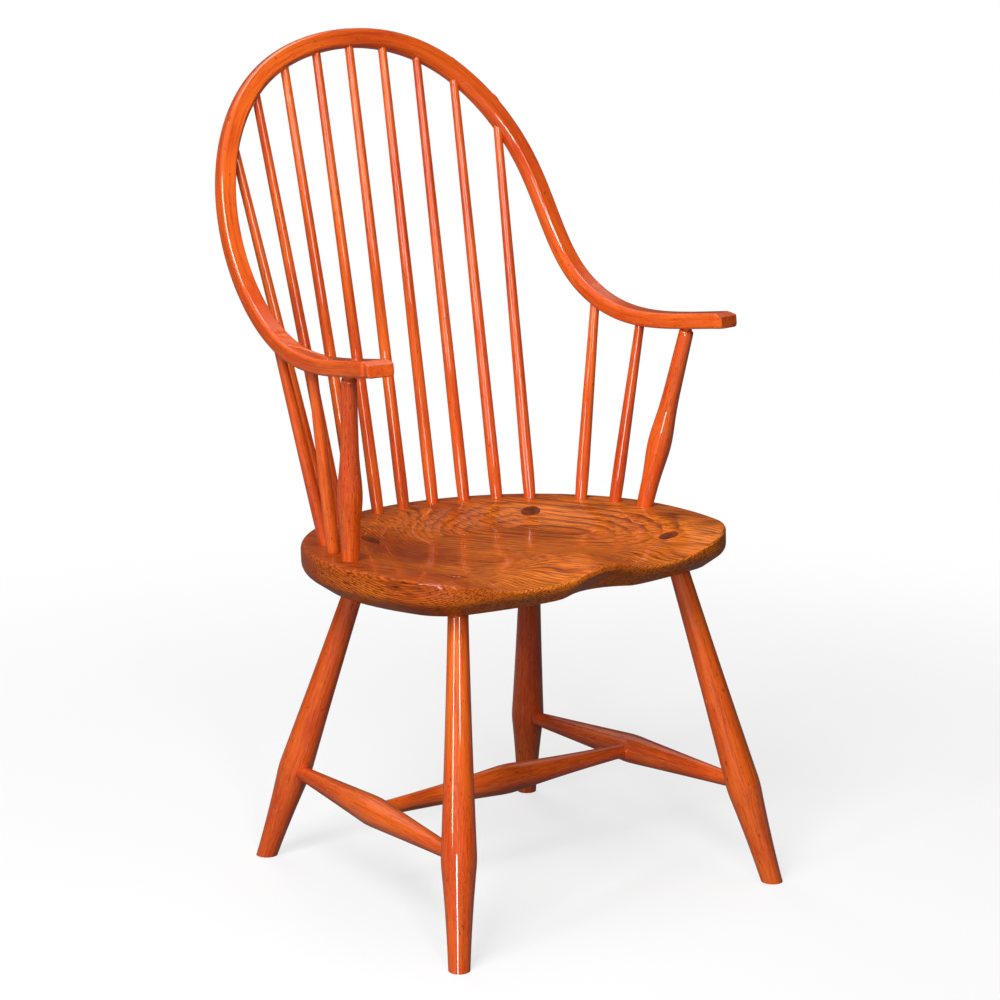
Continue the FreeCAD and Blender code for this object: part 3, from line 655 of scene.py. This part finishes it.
def leave_bow(start, way, by_edge):
    """Where a stick's axis comes out of the bow: the point, the outward direction and the bow's grain."""
    side = -1 if start.x < 0 else 1
    place = start
    for _ in range(20):
        nearest = np.argmin(np.linalg.norm(bow_line - np.array(sided(place, side)), axis=1))
        point, forward, edge, face = bow_frame(bow_reach[nearest], side)
        out, depth = (edge, bow_width(bow_reach[nearest])) if by_edge else (face, BOW_THICKNESS)
        place = place + way * ((depth / 2 - out.dot(place - point)) / out.dot(way))
    return place, out, forward


bow_tenons = []


def fit_upright(piece, name, foot, top, by_edge, radius):
    """Stands a spindle or a post, trims its tip at the bow, and notes the tip for its wedge."""
    stand(piece, foot, top)
    way = (top - foot).normalized()
    place, out, bow_grain = leave_bow(top, way, by_edge)
    sink = (radius / way.dot(out)) ** 2 / (2 * HOOP_RADIUS) if by_edge else 0
    saw(piece, place + out * (TIP_PROUD - sink), out)
    close_piece(40)
    bow_tenons.append((place, out, way, bow_grain, radius))
    sticks[name] = piece


# %% Nine back spindles
BACK_FOOT, BACK_SWELL, BACK_TIP = 0.0076, 0.0082, 0.0055
BACK_ANGLE = 10.9
BACK_TOP_SPACING = 0.0512

for pair in range(5):
    foot = ring_point(BACK_ANGLE * pair)
    across = np.interp(BACK_TOP_SPACING * pair, bow_line[:600, 0], bow_reach[:600])
    top = bow_point(across)
    outline = spindle_outline((top - foot).length, BACK_FOOT, BACK_SWELL, BACK_TIP)
    turned = lathe(f"turned_back_spindle_{5 + pair}", outline)
    if pair:
        twin = copy_of(turned, f"turned_back_spindle_{5 - pair}")
        fit_upright(twin, f"back_spindle_{5 - pair}", foot * MIRROR, top * MIRROR, True, BACK_TIP)
    fit_upright(turned, f"back_spindle_{5 + pair}", foot, top, True, BACK_TIP)
print("back spindles:", len(sticks), "open edges:", sum(open_edges(piece) for piece in sticks.values()))

# %% Two arm spindles a side
ARM_FOOT, ARM_SWELL, ARM_TIP = 0.0077, 0.00825, 0.0061
POST_ANGLE = 86.1
POST_FROM_HAND = 0.072
ARM_ANGLE = 12.6
ARM_SPACING = 0.0883

for number, place in ((1, "front"), (2, "rear")):
    foot = ring_point(POST_ANGLE - number * ARM_ANGLE)
    top = bow_point(HALF_BOW - POST_FROM_HAND - number * ARM_SPACING)
    outline = spindle_outline((top - foot).length, ARM_FOOT, ARM_SWELL, ARM_TIP)
    fit_pair(fit_upright, "arm_spindle_{}_" + place, outline, foot, top, False, ARM_TIP)
print("sticks so far:", len(sticks))

# %% [markdown]
# ## The arm posts
#
# A post is stouter than a spindle: it swells above an ankle, narrows to a neck, and ends in a small
# rounded shoulder just under the arm, where only its thinner tenon goes on. The photograph shows the
# dark gap between that shoulder and the arm. Its outline is a smooth curve through six radii.

# %% Two arm posts
POST_PLACES = {"foot": (0.0105, 0), "ankle": (0.0123, 0.046), "swell": (0.0152, 0.084)}
POST_PLACES |= {"waist": (0.0123, 0.126), "neck": (0.0105, 0.172)}
POST_TOP = 0.0093
POST_TENON = 0.0065
POST_ROUND = 0.003
POST_GAP = 0.003


def post_outline(span):
    """Half of a post's section."""
    shoulder = span - BOW_THICKNESS / 2 - POST_GAP
    stations = np.array([*POST_PLACES.values(), (POST_TOP, shoulder - POST_ROUND)])
    chords = np.diff(stations, axis=0)
    chords /= np.linalg.norm(chords, axis=1)[:, None]
    swell = [tuple(point) for point in smooth_curve(stations, chords[0], chords[-1], 60)]
    rounded = arc_points(Vector((POST_TOP - POST_ROUND, shoulder - POST_ROUND)), POST_ROUND, 0, math.pi / 2, 6)
    bottom = [(0, -SPINDLE_MORTISE), (POST_PLACES["foot"][0], -SPINDLE_MORTISE)]
    tenon = [(POST_TENON, shoulder), (POST_TENON, span + SPARE), (0, span + SPARE)]
    return bottom + swell + rounded[1:] + tenon


foot = ring_point(POST_ANGLE)
top = bow_point(HALF_BOW - POST_FROM_HAND)
fit_pair(fit_upright, "arm_post_{}", post_outline((top - foot).length), foot, top, False, POST_TENON)
print("uprights:", len(sticks))

# %% [markdown]
# ## Legs and stretchers
#
# Legs and stretchers share one form: a round swell between two long tapers that are a little hollow.
# The swell of a leg is low, where the stretcher enters it. The hollow of a taper is the arc that leaves
# the end of the stick and touches the swell's round from outside, so the outline has no corner.

# %% Outline of a swelled stick
def hollow_taper(middle, bend, tip, hollow):
    """Where a taper from the tip touches the swell's round, and the middle of the taper's own arc."""
    chord = (middle + Vector((bend, 0)) - tip).length
    sweep = chord**2 / (8 * hollow)
    line = middle - tip
    share = (sweep**2 - (bend + sweep) ** 2 + line.length**2) / (2 * line.length)
    aside = Vector((-line.y, line.x)).normalized() * math.sqrt(sweep**2 - share**2)
    base = tip + line.normalized() * share
    outside = max(base + aside, base - aside, key=lambda point: point.x)
    return middle + (outside - middle) * (bend / (bend + sweep)), outside


def arc_between(middle, start, end):
    """Points of the shorter arc about a middle."""
    first, last = (math.atan2(*(point - middle).yx) % math.tau for point in (start, end))
    return arc_points(middle, (start - middle).length, first, last)


def swelled_outline(lower, swell, upper, heights, bend, hollows):
    """Half of a leg or stretcher: radii below, at the swell and above, five heights, and two hollows."""
    bottom, low, swell_at, high, top = heights
    middle = Vector((swell - bend, swell_at))
    below, above = Vector((lower, low)), Vector((upper, high))
    start, lower_middle = hollow_taper(middle, bend, below, hollows[0])
    end, upper_middle = hollow_taper(middle, bend, above, hollows[1])
    turns = [math.atan2(*(point - middle).yx) for point in (start, end)]
    rounds = arc_points(middle, bend, *turns)
    outline = [(0, bottom), (lower, bottom)]
    outline += arc_between(lower_middle, below, start) + rounds[1:-1]
    outline += arc_between(upper_middle, end, above) + [(upper, top), (0, top)]
    return outline


# %% [markdown]
# A leg runs from its foot on the floor to the top of its tenon, which shows in the saddle. We saw it level
# at the floor and flush with the saddle above, and give the sawn end its own finish, because there the
# seat's clear coat lies on bare end grain.

# %% Lines of the legs
LEG_FOOT, LEG_SWELL, LEG_TENON = 0.0130, 0.0213, 0.0125
LEG_SWELL_HEIGHT = 0.131
LEG_BEND = 0.150
LEG_HOLLOWS = (0.0011, 0.0006)
LEG_SHOWING = 0.012
LEG_ENDS = {
    "front": {"deck": (0.160, -0.109), "foot": (0.244, -0.224), "stretcher": 0.125},
    "rear": {"deck": (0.124, 0.120), "foot": (0.211, 0.2405), "stretcher": 0.1195},
}


def leg_line(end):
    """A right leg's foot on the floor and the middle of its mortise on the plank."""
    across, back = LEG_ENDS[end]["foot"]
    return Vector((across, RING_Y + back, 0)), SEAT_PLACE @ Vector((*LEG_ENDS[end]["deck"], 0))


def leave_saddle(foot, deck):
    """Where a leg's axis comes out of the saddle, and the saddle's upward direction there."""
    inverse = SEAT_PLACE.inverted()
    start, way = inverse @ deck, inverse.to_3x3() @ (deck - foot).normalized()
    place = start
    for _ in range(20):
        place = place - way * ((place.z + saddle_depth(place.x, place.y)) / way.z)
    step = 0.001
    slope_x = saddle_depth(place.x + step, place.y) - saddle_depth(place.x - step, place.y)
    slope_y = saddle_depth(place.x, place.y + step) - saddle_depth(place.x, place.y - step)
    normal = Vector((slope_x, slope_y, 2 * step)).normalized()
    return SEAT_PLACE @ place, SEAT_PLACE.to_3x3() @ normal


# %% Four legs
leg_tenons = []


def fit_leg(piece, name, foot, deck):
    """Stands a leg, saws its foot level and its tenon flush, and gives the tenon's end its own slot."""
    stand(piece, foot, deck)
    saw(piece, (0, 0, 0), (0, 0, -1))
    close_piece(40)
    place, out = leave_saddle(foot, deck)
    piece.data.materials.append(None)
    piece.data.materials.append(None)
    saw(piece, place + out * LEG_PROUD, out)
    piece.active_material_index = 1
    bpy.ops.object.material_slot_assign()
    close_piece(40)
    leg_tenons.append((place, out, (deck - foot).normalized(), Vector((0, 1, 0)), LEG_TENON))
    sticks[name] = piece


for end in LEG_ENDS:
    foot, deck = leg_line(end)
    span = (deck - foot).length
    tenon_at = span - (SEAT_THICKNESS + LEG_SHOWING) * span / deck.z
    heights = (-SPARE, 0.0, LEG_SWELL_HEIGHT, tenon_at, span + SPARE)
    outline = swelled_outline(LEG_FOOT, LEG_SWELL, LEG_TENON, heights, LEG_BEND, LEG_HOLLOWS)
    fit_pair(fit_leg, f"leg_{end}_" + "{}", outline, foot, deck)
print("legs done, sticks:", len(sticks))

# %% Three stretchers
STRETCHER_TENON, STRETCHER_SWELL = 0.0093, 0.01875
STRETCHER_BEND = 0.180
STRETCHER_STRAIGHT = 0.005
SIDE_HOLLOW, CENTRE_HOLLOW = 0.0002, 0.0012
PAST_LEG, PAST_SIDE = 0.005, 0.004


def stretcher_outline(span, buried, past, hollow):
    """Half of a stretcher whose ends go past the middle of what they enter."""
    half = span / 2
    straight = half - buried - STRETCHER_STRAIGHT
    heights = (-half - past, -straight, 0.0, straight, half + past)
    sizes = (STRETCHER_TENON, STRETCHER_SWELL, STRETCHER_TENON)
    return swelled_outline(*sizes, heights, STRETCHER_BEND, (hollow, hollow))


def lay_stretcher(piece, name, start, end):
    """Lays a stretcher that was turned about its middle between two points."""
    stand(piece, (start + end) / 2, end)
    sticks[name] = piece


ends = []
for end in LEG_ENDS:
    foot, deck = leg_line(end)
    ends.append(foot + (deck - foot) * (LEG_ENDS[end]["stretcher"] / deck.z))
outline = stretcher_outline((ends[1] - ends[0]).length, LEG_SWELL, PAST_LEG, SIDE_HOLLOW)
fit_pair(lay_stretcher, "side_stretcher_{}", outline, *ends)
middle = (ends[0] + ends[1]) / 2
outline = stretcher_outline(2 * middle.x, STRETCHER_SWELL, PAST_SIDE, CENTRE_HOLLOW)
centre = lathe("turned_centre_stretcher", outline)
lay_stretcher(centre, "centre_stretcher", middle * MIRROR, middle)
print("sticks:", len(sticks), "open edges:", sum(open_edges(piece) for piece in sticks.values()))

# %% [markdown]
# ## The wedges
#
# Every through tenon is split and spread by a wedge, driven across the grain of the wood that it goes
# through, so that it can't split the seat or the bow. A wedge starts as a cube that is stretched, pinched
# at its lower end, put in its tenon and sawn off with it. The wedges of the legs make one piece, and
# those of the bow another, as in the frame.

# %% Drive and trim the wedges
WEDGE_TOP, WEDGE_TIP, WEDGE_DEPTH = 0.0024, 0.0008, 0.015
WEDGE_SIDE_GAP = 0.0009


def drive_wedge(name, tenon, proud):
    """One wedge in its tenon, cut a hair prouder than the tenon's end."""
    place, out, way, wood_grain, radius = tenon
    bpy.ops.object.select_all(action="DESELECT")
    bpy.ops.mesh.primitive_cube_add(size=1)
    piece = start_piece(name)
    bpy.ops.transform.resize(value=(WEDGE_TOP, 2 * (radius - WEDGE_SIDE_GAP), 2 * WEDGE_DEPTH))
    bpy.ops.mesh.select_all(action="DESELECT")
    mesh = bmesh.from_edit_mesh(piece.data)
    for face in mesh.faces:
        face.select = face.normal.z < -0.5
    bmesh.update_edit_mesh(piece.data)
    pinch = WEDGE_TIP / WEDGE_TOP
    bpy.ops.transform.resize(value=(pinch, 1, 1))
    bpy.ops.object.mode_set(mode="OBJECT")
    thin = (wood_grain - way * wood_grain.dot(way)).normalized()
    turn = Matrix((thin, way.cross(thin), way)).transposed().to_4x4()
    piece.matrix_world = Matrix.Translation(place) @ turn
    choose(piece)
    bpy.ops.object.transform_apply(location=True, rotation=True, scale=True)
    saw(piece, place + out * proud, out)
    close_piece(30)
    return piece


def drive_wedges(name, tenons, proud):
    """All wedges of one kind, joined into one piece."""
    wedges = [drive_wedge(f"{name}_{number}", tenon, proud) for number, tenon in enumerate(tenons)]
    choose(wedges[0])
    for wedge in wedges:
        wedge.select_set(True)
    bpy.ops.object.join()
    wedges[0].name = name
    return wedges[0]


leg_wedges = drive_wedges("driven_leg_wedges", leg_tenons, 2 * LEG_PROUD)
bow_wedges = drive_wedges("driven_bow_wedges", bow_tenons, 2 * TIP_PROUD)
print("wedge faces:", len(leg_wedges.data.polygons), len(bow_wedges.data.polygons))

# %% [markdown]
# ## Shader maths
#
# A finish is built from nodes, but its recipe is easier to read as arithmetic. `Wire` holds one output
# of a material's nodes, and `+`, `-`, `*` and `/` on it add Math nodes. Any other node comes from its
# method `node`, which takes the node's type, its settings, and what goes into its sockets.

# %% A socket that does arithmetic
def find_socket(sockets, key):
    """A node's socket by its place, its identifier or its name."""
    if isinstance(key, int):
        return sockets[key]
    return next((socket for socket in sockets if socket.identifier == key), None) or sockets[key]


class Wire:
    """One output of a material's nodes, on which arithmetic adds Math nodes."""

    def __init__(self, tree, socket=None):
        self.tree = tree
        self.socket = socket

    def node(self, kind, settings, sockets, output=0):
        """Adds a node, sets it up, fills its sockets, and gives one of its outputs."""
        node = self.tree.nodes.new(kind)
        for name, value in settings.items():
            setattr(node, name, value)
        for key, value in sockets.items():
            target = find_socket(node.inputs, key)
            if isinstance(value, Wire):
                self.tree.links.new(value.socket, target)
            else:
                target.default_value = value
        return Wire(self.tree, find_socket(node.outputs, output))

    def maths(self, operation, *values):
        return self.node("ShaderNodeMath", {"operation": operation}, dict(enumerate(values)))

    def __add__(self, other):
        return self.maths("ADD", self, other)

    def __sub__(self, other):
        return self.maths("SUBTRACT", self, other)

    def __rsub__(self, other):
        return self.maths("SUBTRACT", other, self)

    def __mul__(self, other):
        return self.maths("MULTIPLY", self, other)

    def __truediv__(self, other):
        return self.maths("DIVIDE", self, other)

    __radd__ = __add__
    __rmul__ = __mul__

    def stretch(self, sizes):
        """A vector scaled along each axis."""
        return self.node("ShaderNodeVectorMath", {"operation": "MULTIPLY"}, {0: self, 1: sizes})

    def noise(self, sizes, detail=3.0, roughness=0.5):
        """Soft noise over this vector, with so many lumps to the metre along each axis."""
        sockets = {"Vector": self.stretch(sizes), "Scale": 1.0, "Detail": detail, "Roughness": roughness}
        return self.node("ShaderNodeTexNoise", {"noise_dimensions": "3D"}, sockets, "Fac")

    def over(self, low, high):
        """A soft step from 0 at low to 1 at high."""
        sockets = {"Value": self, "From Min": low, "From Max": high}
        return self.node("ShaderNodeMapRange", {"interpolation_type": "SMOOTHSTEP"}, sockets)

    def blend(self, first, second):
        """Two colours mixed by this share."""
        sockets = {"Factor_Float": self, "A_Color": first, "B_Color": second}
        return self.node("ShaderNodeMix", {"data_type": "RGBA"}, sockets, "Result_Color")


def colour(red, green, blue):
    """A display colour from 0 to 255 as the linear colour that Blender works with."""
    shares = [value / 255 for value in (red, green, blue)]
    return (*[s / 12.92 if s < 0.04045 else ((s + 0.055) / 1.055) ** 2.4 for s in shares], 1.0)


def new_finish(name, fixed):
    """An empty material with one Principled shader, its constant sockets set, and a wire to build from."""
    material = bpy.data.materials.new(name)
    material.use_nodes = True
    shader = material.node_tree.nodes["Principled BSDF"]
    for key, value in fixed.items():
        shader.inputs[key].default_value = value
    return material, shader, Wire(material.node_tree)


def feed(wire, shader, key):
    """Links a wire to a socket of the shader."""
    wire.tree.links.new(wire.socket, shader.inputs[key])


def roughen(shader, height, strength, distance):
    """Lets a wire raise and sink the surface."""
    sockets = {"Strength": strength, "Distance": distance, "Height": height}
    feed(height.node("ShaderNodeBump", {}, sockets), shader, "Normal")


# %% [markdown]
# ## The stained sticks
#
# The frame is stained a strong orange and rubbed, under a glossy clear coat. Seen close, the colour runs
# in fine streaks along the wood, drifts between orange and red over a hand's breadth, and is broken by
# short dark pores and a few darker flecks. The pattern reads the grain coordinates that each stick noted
# on the lathe, so it runs along every leg and round the bend of the bow.

# %% Orange stain under a clear coat
def make_orange():
    """The finish of every stick and of the bow."""
    fixed = {"Specular IOR Level": 0.2, "Coat Weight": 0.9, "Coat Roughness": 0.03, "Coat IOR": 1.7}
    material, shader, start = new_finish("orange_stain", fixed)
    grain = start.node("ShaderNodeAttribute", {"attribute_name": "grain"}, {}, "Vector")
    drift = grain.noise((14, 14, 5), 2.0)
    streak = grain.noise((300, 300, 11), 4.0, 0.65)
    fine = grain.noise((1100, 1100, 50), 2.0)
    pore_field = grain.noise((900, 900, 110), 2.0, 0.5)
    crowd = grain.noise((30, 30, 12), 2.0).over(0.42, 0.68)
    pores = (pore_field + crowd * 0.07).over(0.69, 0.75)
    fleck = grain.noise((160, 160, 120), 1.0).over(0.74, 0.78)
    hue = drift.over(0.3, 0.7).blend(colour(212, 74, 16), colour(238, 104, 26))
    streaked = (streak.over(0.42, 0.66) * 0.6).blend(hue, colour(174, 50, 10))
    light = (fine.over(0.48, 0.75) * 0.45).blend(streaked, colour(248, 128, 42))
    dark = (pores * 0.8 + fleck * 0.5).blend(light, colour(90, 24, 10))
    feed(dark, shader, "Base Color")
    feed(0.40 + streak * 0.16 + pores * 0.2, shader, "Roughness")
    height = streak * 0.7 + fine * 0.2 - pores * 0.8
    roughen(shader, height, 0.12, 0.0004)
    return material


orange = make_orange()
print("orange stain:", len(orange.node_tree.nodes), "nodes")

# %% [markdown]
# ## The seat's wood
#
# The seat is a plain-sawn plank under a clear coat. Its growth layers are nearly level sheets that bend up
# gently to both sides of the tree's heart, and the grain runs at a slant across the seat. So we colour the
# wood by its height over such a sheet. Where the saddle cuts down through the layers, they come out as long
# loops by themselves, just as they do on a carved seat.

# %% Growth layers
GRAIN_TURN = math.radians(-22)
HEART_ACROSS = 0.16
LAYER_BEND = 0.8
LAYER_TILT = 0.035
LAYER = 0.0032


def make_seat_wood():
    """The finish of the seat."""
    fixed = {"Specular IOR Level": 0.1, "Coat Weight": 0.4, "Coat Roughness": 0.08}
    material, shader, start = new_finish("seat_wood", fixed)
    place = start.node("ShaderNodeTexCoord", {}, {}, "Object")
    turned = start.node("ShaderNodeVectorRotate", {"rotation_type": "Z_AXIS"}, {"Vector": place, "Angle": GRAIN_TURN})
    wander = turned.noise((7, 2.2, 7), 2.0)
    ripple = turned.noise((60, 8, 60), 3.0)
    xyz = {axis: start.node("ShaderNodeSeparateXYZ", {}, {0: turned}, axis) for axis in "XYZ"}
    across = xyz["X"] - HEART_ACROSS + (wander - 0.5) * 0.10
    height = xyz["Z"] + across * across * LAYER_BEND + xyz["Y"] * LAYER_TILT
    layers = (height + (wander - 0.5) * 0.02 + (ripple - 0.5) * 0.0035) / LAYER
    wave = layers.maths("FRACT", layers)
    late = wave.over(0.4, 0.9) * (1 - wave.over(0.92, 1.0))
    strength = turned.noise((24, 6, 24), 2.0).over(0.3, 0.7)
    streak = turned.noise((420, 9, 420), 4.0, 0.7)
    dash = turned.noise((560, 24, 560), 2.0).over(0.57, 0.67)
    drift = turned.noise((9, 5, 9), 2.0)
    # The drift is a random change of tone. The slope across the seat, darker to the left and back and lighter to the
    # right and front, is painted shade.
    drift_and_painted_shade = drift + xyz["X"] * 0.3 - xyz["Y"] * 0.4
    base = drift_and_painted_shade.over(0.3, 0.7).blend(colour(186, 78, 14), colour(238, 126, 34))
    ringed = (late * (0.2 + strength * 0.65)).blend(base, colour(92, 34, 8))
    streaked = (streak.over(0.46, 0.60) * 0.65).blend(ringed, colour(110, 40, 9))
    dark = (dash * 0.75).blend(streaked, colour(50, 16, 4))
    feed(dark, shader, "Base Color")
    feed(0.42 + streak * 0.16, shader, "Roughness")
    relief = streak * 0.4 - dash * 0.6 - late * 0.3
    roughen(shader, relief, 0.15, 0.0004)
    return material


seat_wood = make_seat_wood()
print("seat wood:", len(seat_wood.node_tree.nodes), "nodes")

# %% [markdown]
# ## End grain and wedges
#
# The tenons of the legs show in the saddle as dark ovals: end grain drinks the finish. Fine dots stand for
# the cut pores. The wedges are strips of another wood, of nearly the same tone.

# %% End grain and wedge wood
def make_end_grain(name, pale, deep):
    """Cut pores in a ground that changes between two colours."""
    material, shader, start = new_finish(name, {"Specular IOR Level": 0.1, "Coat Weight": 0.2, "Coat Roughness": 0.2})
    place = start.node("ShaderNodeTexCoord", {}, {}, "Object")
    dots = place.noise((1400, 1400, 300), 2.0)
    cloud = place.noise((130, 130, 40), 3.0)
    ground = cloud.over(0.3, 0.7).blend(pale, deep)
    speckled = (dots.over(0.5, 0.66) * 0.6).blend(ground, colour(44, 16, 10))
    feed(speckled, shader, "Base Color")
    feed(0.36 + dots * 0.2, shader, "Roughness")
    roughen(shader, dots, 0.15, 0.0003)
    return material


end_grain = make_end_grain("tenon_end_grain", colour(124, 54, 18), colour(86, 34, 12))
leg_wedge_wood = make_end_grain("wedge_wood", colour(128, 62, 28), colour(84, 36, 18))
print("end grain:", len(end_grain.node_tree.nodes), "nodes")

# %% [markdown]
# ## Handing the pieces over
#
# Each piece takes its finish, hides the CAD node that it stands for, and rides on the chair's one body.

# %% Finish and place every piece
def hand_over(piece, node, slot, *finishes):
    """Gives a piece its finishes and its place in the frame."""
    slots = piece.data.materials
    for number, finish in enumerate(finishes):
        if number < len(slots):
            slots[number] = finish
        else:
            slots.append(finish)
    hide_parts(node)
    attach(piece, "root")


hand_over(seat, "seat", "seat_wood", seat_wood)
hand_over(bow, "bow", "frame_wood", orange)
for node, piece in sticks.items():
    finishes = (orange, end_grain) if node.startswith("leg_") else (orange,)
    hand_over(piece, node, "frame_wood", *finishes)
hand_over(leg_wedges, "leg_wedges", "wedge_wood", leg_wedge_wood)
hand_over(bow_wedges, "bow_wedges", "frame_wood", orange)
print("pieces:", len(sticks) + 4)

# %% [markdown]
# ## The studio
#
# The photograph is cut out on white. The floor is a large pale sheet that shows mostly white to the camera,
# so that only a soft shadow of the chair remains. The world is white to the camera. To reflections it is a
# dark room, brighter only high up behind the chair, where a backdrop would catch the lamps. That is what
# gives the sticks their dark edges and the tops their pale sheen.

# %% Floor
FLOOR_PALE, FLOOR_DIM = 0.9, 0.08
SHADOW_SHARE = 0.30
FLOOR_MIRRORED = 0.06
SHADOW_REACH = (0.7, 1.8)


def light_path(start):
    """Wires that are 1 for camera rays, for reflections, and for rays through glass."""
    kinds = ("Is Camera Ray", "Is Glossy Ray", "Is Transmission Ray")
    return [start.node("ShaderNodeLightPath", {}, {}, kind) for kind in kinds]


def make_floor():
    """A pale sheet with the chair's shadow near the chair, and plain white farther off."""
    bpy.ops.object.select_all(action="DESELECT")
    bpy.ops.mesh.primitive_plane_add(size=60)
    floor = bpy.context.object
    floor.name = "studio_floor"
    material = bpy.data.materials.new("studio_floor")
    material.use_nodes = True
    nodes = material.node_tree.nodes
    nodes.remove(nodes["Principled BSDF"])
    start = Wire(material.node_tree)
    camera_ray, glossy_ray, clear_ray = light_path(start)
    seen = camera_ray + glossy_ray * FLOOR_MIRRORED + clear_ray
    place = start.node("ShaderNodeTexCoord", {}, {}, "Object")
    away = start.node("ShaderNodeVectorMath", {"operation": "LENGTH"}, {0: place}, "Value")
    plain = (1 - SHADOW_SHARE) + away.over(*SHADOW_REACH) * SHADOW_SHARE
    pale = seen.blend((FLOOR_DIM, FLOOR_DIM, FLOOR_DIM, 1), (FLOOR_PALE, FLOOR_PALE, FLOOR_PALE, 1))
    matte = start.node("ShaderNodeBsdfDiffuse", {}, {"Color": pale})
    white = start.node("ShaderNodeEmission", {}, {"Color": (1, 1, 1, 1), "Strength": 1.0})
    shown = start.node("ShaderNodeMixShader", {}, {0: seen * plain, 1: matte, 2: white})
    material.node_tree.links.new(shown.socket, nodes["Material Output"].inputs["Surface"])
    floor.data.materials.append(material)


make_floor()

# %% World
AMBIENT = 0.005
BACKDROP_LOW, BACKDROP_HIGH = 0.06, 0.7
ROOM = 0.03


def make_world():
    """White for the camera, a backdrop and a darker room for reflections, and a weak sky for the light."""
    world = bpy.data.worlds.new("studio")
    bpy.context.scene.world = world
    world.use_nodes = True
    nodes = world.node_tree.nodes
    start = Wire(world.node_tree)
    camera_ray, glossy_ray, clear_ray = light_path(start)
    way = start.node("ShaderNodeTexCoord", {}, {}, "Generated")
    behind = start.node("ShaderNodeSeparateXYZ", {}, {0: way}, "Y").over(-0.1, 0.5)
    high = start.node("ShaderNodeSeparateXYZ", {}, {0: way}, "Z").over(0.35, 0.75)
    backdrop = BACKDROP_LOW + high * (BACKDROP_HIGH - BACKDROP_LOW)
    mirrored = ROOM + behind * (backdrop - ROOM)
    seen = camera_ray.maths("MAXIMUM", camera_ray, clear_ray)
    plain = 1 - seen - glossy_ray
    strength = seen + glossy_ray * mirrored + plain * AMBIENT
    nodes["Background"].inputs["Color"].default_value = (1, 1, 1, 1)
    world.node_tree.links.new(strength.socket, nodes["Background"].inputs["Strength"])


make_world()
print("floor and world set")

# %% [markdown]
# Six lamps light the chair. A high soft box at the left does most of the work. A tall strip at the left, a
# narrow one in front and a low one draw the bright lines on the sticks, and a soft one above fills the seat.
# The last one stands behind, so that the back isn't black, and reflections don't see it.

# %% Lamps
TARGET = Vector((0, 0, 0.55))


def soft_box(name, place, wide, high, power):
    """A rectangular lamp that looks at the chair."""
    bpy.ops.object.light_add(type="AREA", location=place)
    lamp = bpy.context.object
    lamp.name = name
    lamp.data.shape = "RECTANGLE"
    lamp.data.size = wide
    lamp.data.size_y = high
    lamp.data.energy = power
    lamp.rotation_euler = (TARGET - lamp.location).to_track_quat("-Z", "Y").to_euler()
    return lamp


LAMPS = {
    "key_left": ((-2.06, -1.19, 2.84), 1.2, 1.2, 79),
    "side_left": ((-3.03, -0.60, 1.70), 0.25, 1.6, 28),
    "front": ((-1.20, -2.69, 2.05), 0.22, 1.5, 28),
    "low": ((-2.33, -2.00, 0.55), 0.3, 0.9, 22),
    "above": ((0.1, 0.1, 3.4), 1.4, 1.4, 26),
    "behind": ((0.4, 3.2, 1.2), 2.0, 2.0, 45),
}
lamps = {name: soft_box(name, *lamp) for name, lamp in LAMPS.items()}
lamps["behind"].visible_glossy = False
print("lamps:", ", ".join(lamps))

# %% View transform
bpy.context.scene.view_settings.view_transform = "Standard"
